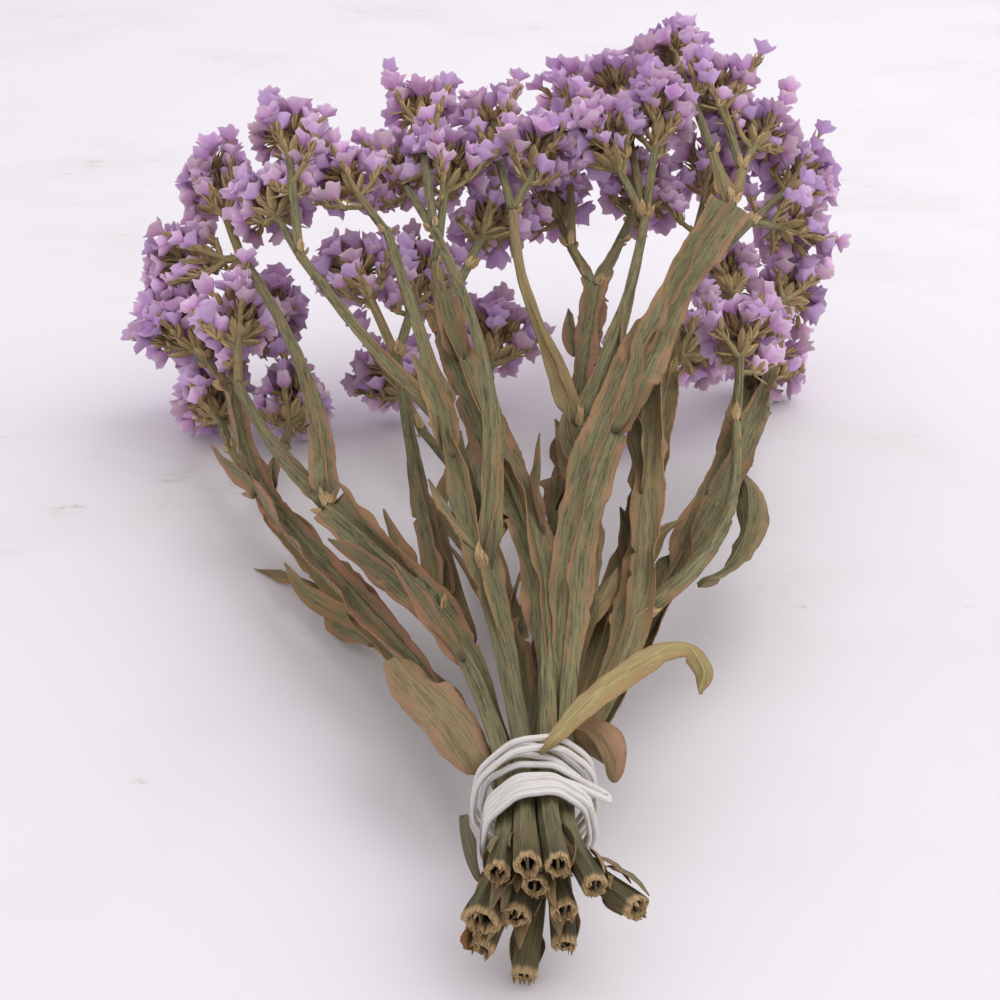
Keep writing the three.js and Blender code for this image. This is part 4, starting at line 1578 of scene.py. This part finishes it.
STRAW = DryPlant("straw_leaf", "b9a976", "95895a", "a58f5f", "ae7f5c", "55422c", blush_share=0.25, fibre=1.1)
PINK_TAN = DryPlant(
    "pink_tan_leaf", "9d8d64", "736647", "a38a62", "b08370", "45331f", blush_share=0.5, fibre=0.9
)
RUSSET = DryPlant("russet_leaf", "937541", "6b5430", "8f6a3c", "a8633a", "2e2115", blush_share=0.6, fibre=0.9)
TAN = DryPlant("tan_leaf", "a38a66", "78664a", "a88e68", "b0846f", "3b2c1c", blush_share=0.7, fibre=0.9)
SLATE = DryPlant("slate_leaf", "77735a", "56533f", "6d5d46", "7d5f4b", "2b261c", blush_share=0.2, fibre=1.0)
MOSS = DryPlant("moss_leaf", "8a8460", "5f5c40", "93825a", "9a7a5c", "332d1e", blush_share=0.3, fibre=1.0)
LEAVES = (
    Leaf(
        "front", 7, -20, 0.4,
        (
            (9, 2, 113), (57, 11, 120), (113, 21, 130), (175, 31, 130),
            (248, 40, 130), (300, 44, 110), (328, 40, 83), (318, 35, 64),
        ),
        STRAW, crinkle=0.06,
    ),
    Leaf(
        "tie_right", 7, 50, 1.2, ((70, 22, 50), (100, 19, 66), (126, 15, 66), (142, 11, 50), (146, 8, 20)),
        TAN, crinkle=0.5,
    ),
    Leaf(
        "tie_left", 6, 75, 0.6, ((-126, -3, 14), (-120, -7, 2), (-110, -12, -22), (-97, -15, -48)),
        SLATE, crinkle=0.3,
    ),
    Leaf(
        "foot", 8, 60, 0.4, ((-84, -14, -34), (-98, -19, -66), (-112, -24, -94), (-120, -27, -112)),
        RUSSET, crinkle=0.3,
    ),
    Leaf(
        "far_left", 11, -35, 0.4, ((-10, 4, 22), (-16, 8, 24), (-23, 12, 25), (-29, 16.5, 25)),
        PINK_TAN, True,
    ),
    Leaf("middle", 7, 40, 1.0, ((-12, 17, 28), (-17, 24, 30), (-21, 33, 32), (-19, 41, 35)), PINK_TAN, True),
    Leaf(
        "far_right", 8, -50, 1.1, ((37, 24, 30), (45, 28, 26), (52, 34, 26), (54, 41, 28), (51, 46, 28)),
        MOSS, True,
    ),
)


# ---------------------------------------------------------------- the tie


@dataclass
class Tie:
    """The white elastic wound round the stems in two groups, with a bight between them and a hanging tail."""

    wide: float = 1.75
    thick: float = 1.1
    leave: float = 60.0
    start: float = 210.0
    per_turn: int = 30
    tight_angle: float = -20.0
    cross_angle: float = 100.0
    cross_swing: float = 3.0
    slant: float = 1.1
    layer: float = 2.3
    dip: float = 0.18
    dips: int = 9
    squeeze: float = 0.26
    sides: int = 18
    threads: int = 6
    ring_gap: float = 0.8
    marks: int = 4001

    def _on_ring(self, degrees: Array | float, along: Any, out: Any = 0.0, above: Any = 0.0) -> Array:
        """Points round the tie.

        Args:
            degrees: the angle from across towards up.
            along: the distance along the stems from the tie's middle.
            out: how far the point slides off the ring, straight on.
            above: how far it stands outside the ring.

        Returns:
            The points.
        """
        turn = np.radians(degrees)
        radius = SIZES.cord_ring + above
        x = radius * np.cos(turn) + out * np.sin(turn)
        z = radius * np.sin(turn) - out * np.cos(turn)
        return np.stack(np.broadcast_arrays(x, along, z), -1) + SIZES.tie_middle

    def _dips(self, degrees: Array) -> Array:
        """How far the cord rises over the stems and sinks between them."""
        return self.dip * np.cos(np.radians(self.dips * (degrees - 30)))

    def route(self) -> Array:
        """The whole way of the cord, from the end of its tail to its stub."""
        first = self.start + 360 * (SIZES.turns - 1)
        share = np.linspace(0, 1, int((first - self.leave) / 360 * self.per_turn) + 1)
        span = (first - self.leave) / 360 * SIZES.turn_pitch
        gap = SIZES.group_gap / 2
        near = first - (first - self.leave) * share
        phase = np.radians((near - self.tight_angle) / 2)
        spread = 1 - self.squeeze + self.squeeze * np.cos(np.radians(near - self.tight_angle - 180))
        layer = self.layer * (1 - spread) * (0.5 - 0.5 * np.cos(phase))
        back = gap + span * (1 - share)
        middle = gap + span / 2
        back = middle + (back - middle) * spread + self.slant * np.sin(np.radians(near - 100))
        near_points = self._on_ring(near, -back, 0, layer + self._dips(near))
        far = self.leave + (first - self.leave) * share
        away = np.radians(far - self.cross_angle)
        swing = self.cross_swing * np.sin(away) * np.cos(away / 2)
        swing *= smooth(0, 0.08, share) * smooth(1, 0.92, share)
        layer = self.layer * (0.5 - 0.5 * np.cos(away / 2))
        far_points = self._on_ring(far, gap + span * share + swing, 0, layer + self._dips(far))
        tail, loop = SIZES.tail, SIZES.loop
        leg = SIZES.cord / 2 + SIZES.clearance
        end = self._on_ring(first, -gap - span - 0.3 * tail, -tail)
        bend = self._on_ring(first, -gap - span - 0.08 * tail, -0.5 * tail)
        half = ((0.8 * gap, 0.3), (leg, 0.75), (0.7 * leg, 0.95))
        places = [(-along, out) for along, out in half] + [*reversed(half)]
        bight = [self._on_ring(self.leave, along, out * loop) for along, out in places]
        stub = self._on_ring(first, gap + span, -2.5)
        return np.vstack([end, bend, near_points, bight, far_points, stub])

    def build(self, layout: Layout, finish: Material) -> Piece:
        """Builds the cord.

        Args:
            layout: the settled lines.
            finish: its material.

        Returns:
            The cord's object.
        """
        curve = Curve(self.route(), self.marks)
        points = curve.spaced(int(curve.length / self.ring_gap))
        outward = points - SIZES.tie_middle
        outward[:, 1] = 0
        track = Track.facing(points, unit(outward))
        phi = circle(self.sides)
        groove = 0.5 - 0.5 * np.cos(self.threads * phi)
        scale = 1 - 0.07 * groove
        x = self.wide / 2 * np.sign(np.cos(phi)) * np.abs(np.cos(phi)) ** 0.8 * scale
        z = self.thick / 2 * np.sign(np.sin(phi)) * np.abs(np.sin(phi)) ** 0.8 * scale
        run = track.run[:, None]
        skin = Skin()
        tone = stacked(groove, run / run[-1], 0.0, 0.0)
        skin.tube(track.rings(x, z), tone, stacked(x, run, 3 * np.sign(z)))
        log.info("the cord is %.0f mm long", curve.length)
        return skin.piece("elastic_tie", layout.shift, [finish])


# ---------------------------------------------------------------- the studio


@dataclass
class Studio:
    """The painted table, the soft light and the camera."""

    eye: Triple = (-7.0, -346.0, 244.0)
    tilt: float = 24.2
    lens: float = 74.7
    key_place: Triple = (0.75, 0.35, 1.25)
    key_size: float = 1.7
    key_power: float = 8.8
    sky: str = "f6f2f7"
    sky_strength: float = 0.86
    key_colour: Triple = (1.0, 0.985, 0.96)
    sensor: float = 36.0
    table_half: float = 6.0

    def build(self, shift: Array) -> None:
        """Builds the table, the lights and the camera.

        Args:
            shift: the move from the layout to the row frame, in millimetres.
        """
        mesh = bpy.data.meshes.new("table")
        wide = self.table_half
        corners = [(-wide, -wide, 0), (wide, -wide, 0), (wide, wide * 2, 0), (-wide, wide * 2, 0)]
        mesh.from_pydata(corners, [], [(0, 1, 2, 3)])
        mesh.materials.append(PaintedTable().make())
        scene = bpy.context.scene
        table = bpy.data.objects.new("table", mesh)
        scene.collection.objects.link(table)
        lamp = bpy.data.lights.new("key", "AREA")
        lamp.shape, lamp.size = "DISK", self.key_size
        lamp.energy, lamp.color = self.key_power, self.key_colour
        key = bpy.data.objects.new("key", lamp)
        key.location = Vector(self.key_place)
        key.rotation_euler = (-key.location).to_track_quat("-Z", "Y").to_euler()
        scene.collection.objects.link(key)
        world = bpy.data.worlds.new("studio")
        world.use_nodes = True
        sky = world.node_tree.nodes["Background"]
        sky.inputs["Color"].default_value = paint(self.sky)
        sky.inputs["Strength"].default_value = self.sky_strength
        scene.world = world
        scene.view_settings.view_transform = "Standard"
        lens = bpy.data.cameras.new("camera")
        lens.lens, lens.sensor_width = self.lens, self.sensor
        camera = bpy.data.objects.new("camera", lens)
        camera.location = Vector((np.array(self.eye) + shift) * MM)
        camera.rotation_euler = (math.radians(90 - self.tilt), 0, 0)
        scene.collection.objects.link(camera)
        bpy.context.scene.camera = camera


# ---------------------------------------------------------------- the bunch


def settle_on_body(piece: Piece, slot: str, *nodes: str) -> None:
    """Lets a piece ride on the bunch's body and stand for its CAD nodes.

    Args:
        piece: the new piece.
        slot: the record's material slot; not used.
        nodes: the CAD nodes that it stands for.
    """
    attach(piece, BODY)
    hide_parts(*nodes)
    log.info("%s: %d faces", piece.name, len(piece.data.polygons))


def main() -> None:
    """Builds every piece of the bunch and the studio round it."""
    logging.basicConfig(level=logging.INFO, format="%(name)s: %(message)s")
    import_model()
    layout = Layout()
    log.info("shift to the row frame %s", np.round(layout.shift, 2))
    Studio().build(layout.shift)
    settle_on_body(Tie().build(layout, Elastic().make()), "tie_cord", "cord")
    for number, plan in enumerate(STEMS):
        finish = DryPlant(f"winged_stem_{plan.name}", blush_share=plan.blush).make()
        stem = Stem(plan, layout.of(number), number)
        settle_on_body(stem.build(layout, finish), "stem", f"stem_{plan.name}")
    for seed, leaf in enumerate(LEAVES):
        settle_on_body(leaf.build(layout, seed), "dry_leaf", f"leaf_{leaf.name}")
    scales = DryPlant("bract", "a2946a", "7a6d48", "b39a70", "8f6b58", "4a3d28", blush_share=0.3, fibre=2.5)
    finishes = [Calyx().make(), scales.make()]
    for seed, line in enumerate(line for line in layout.lines if line.head):
        settle_on_body(Head(line, seed).build(layout, finishes), "flower_head", f"flower_{line.name}")
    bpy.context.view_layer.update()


if __name__ == "__main__":
    main()
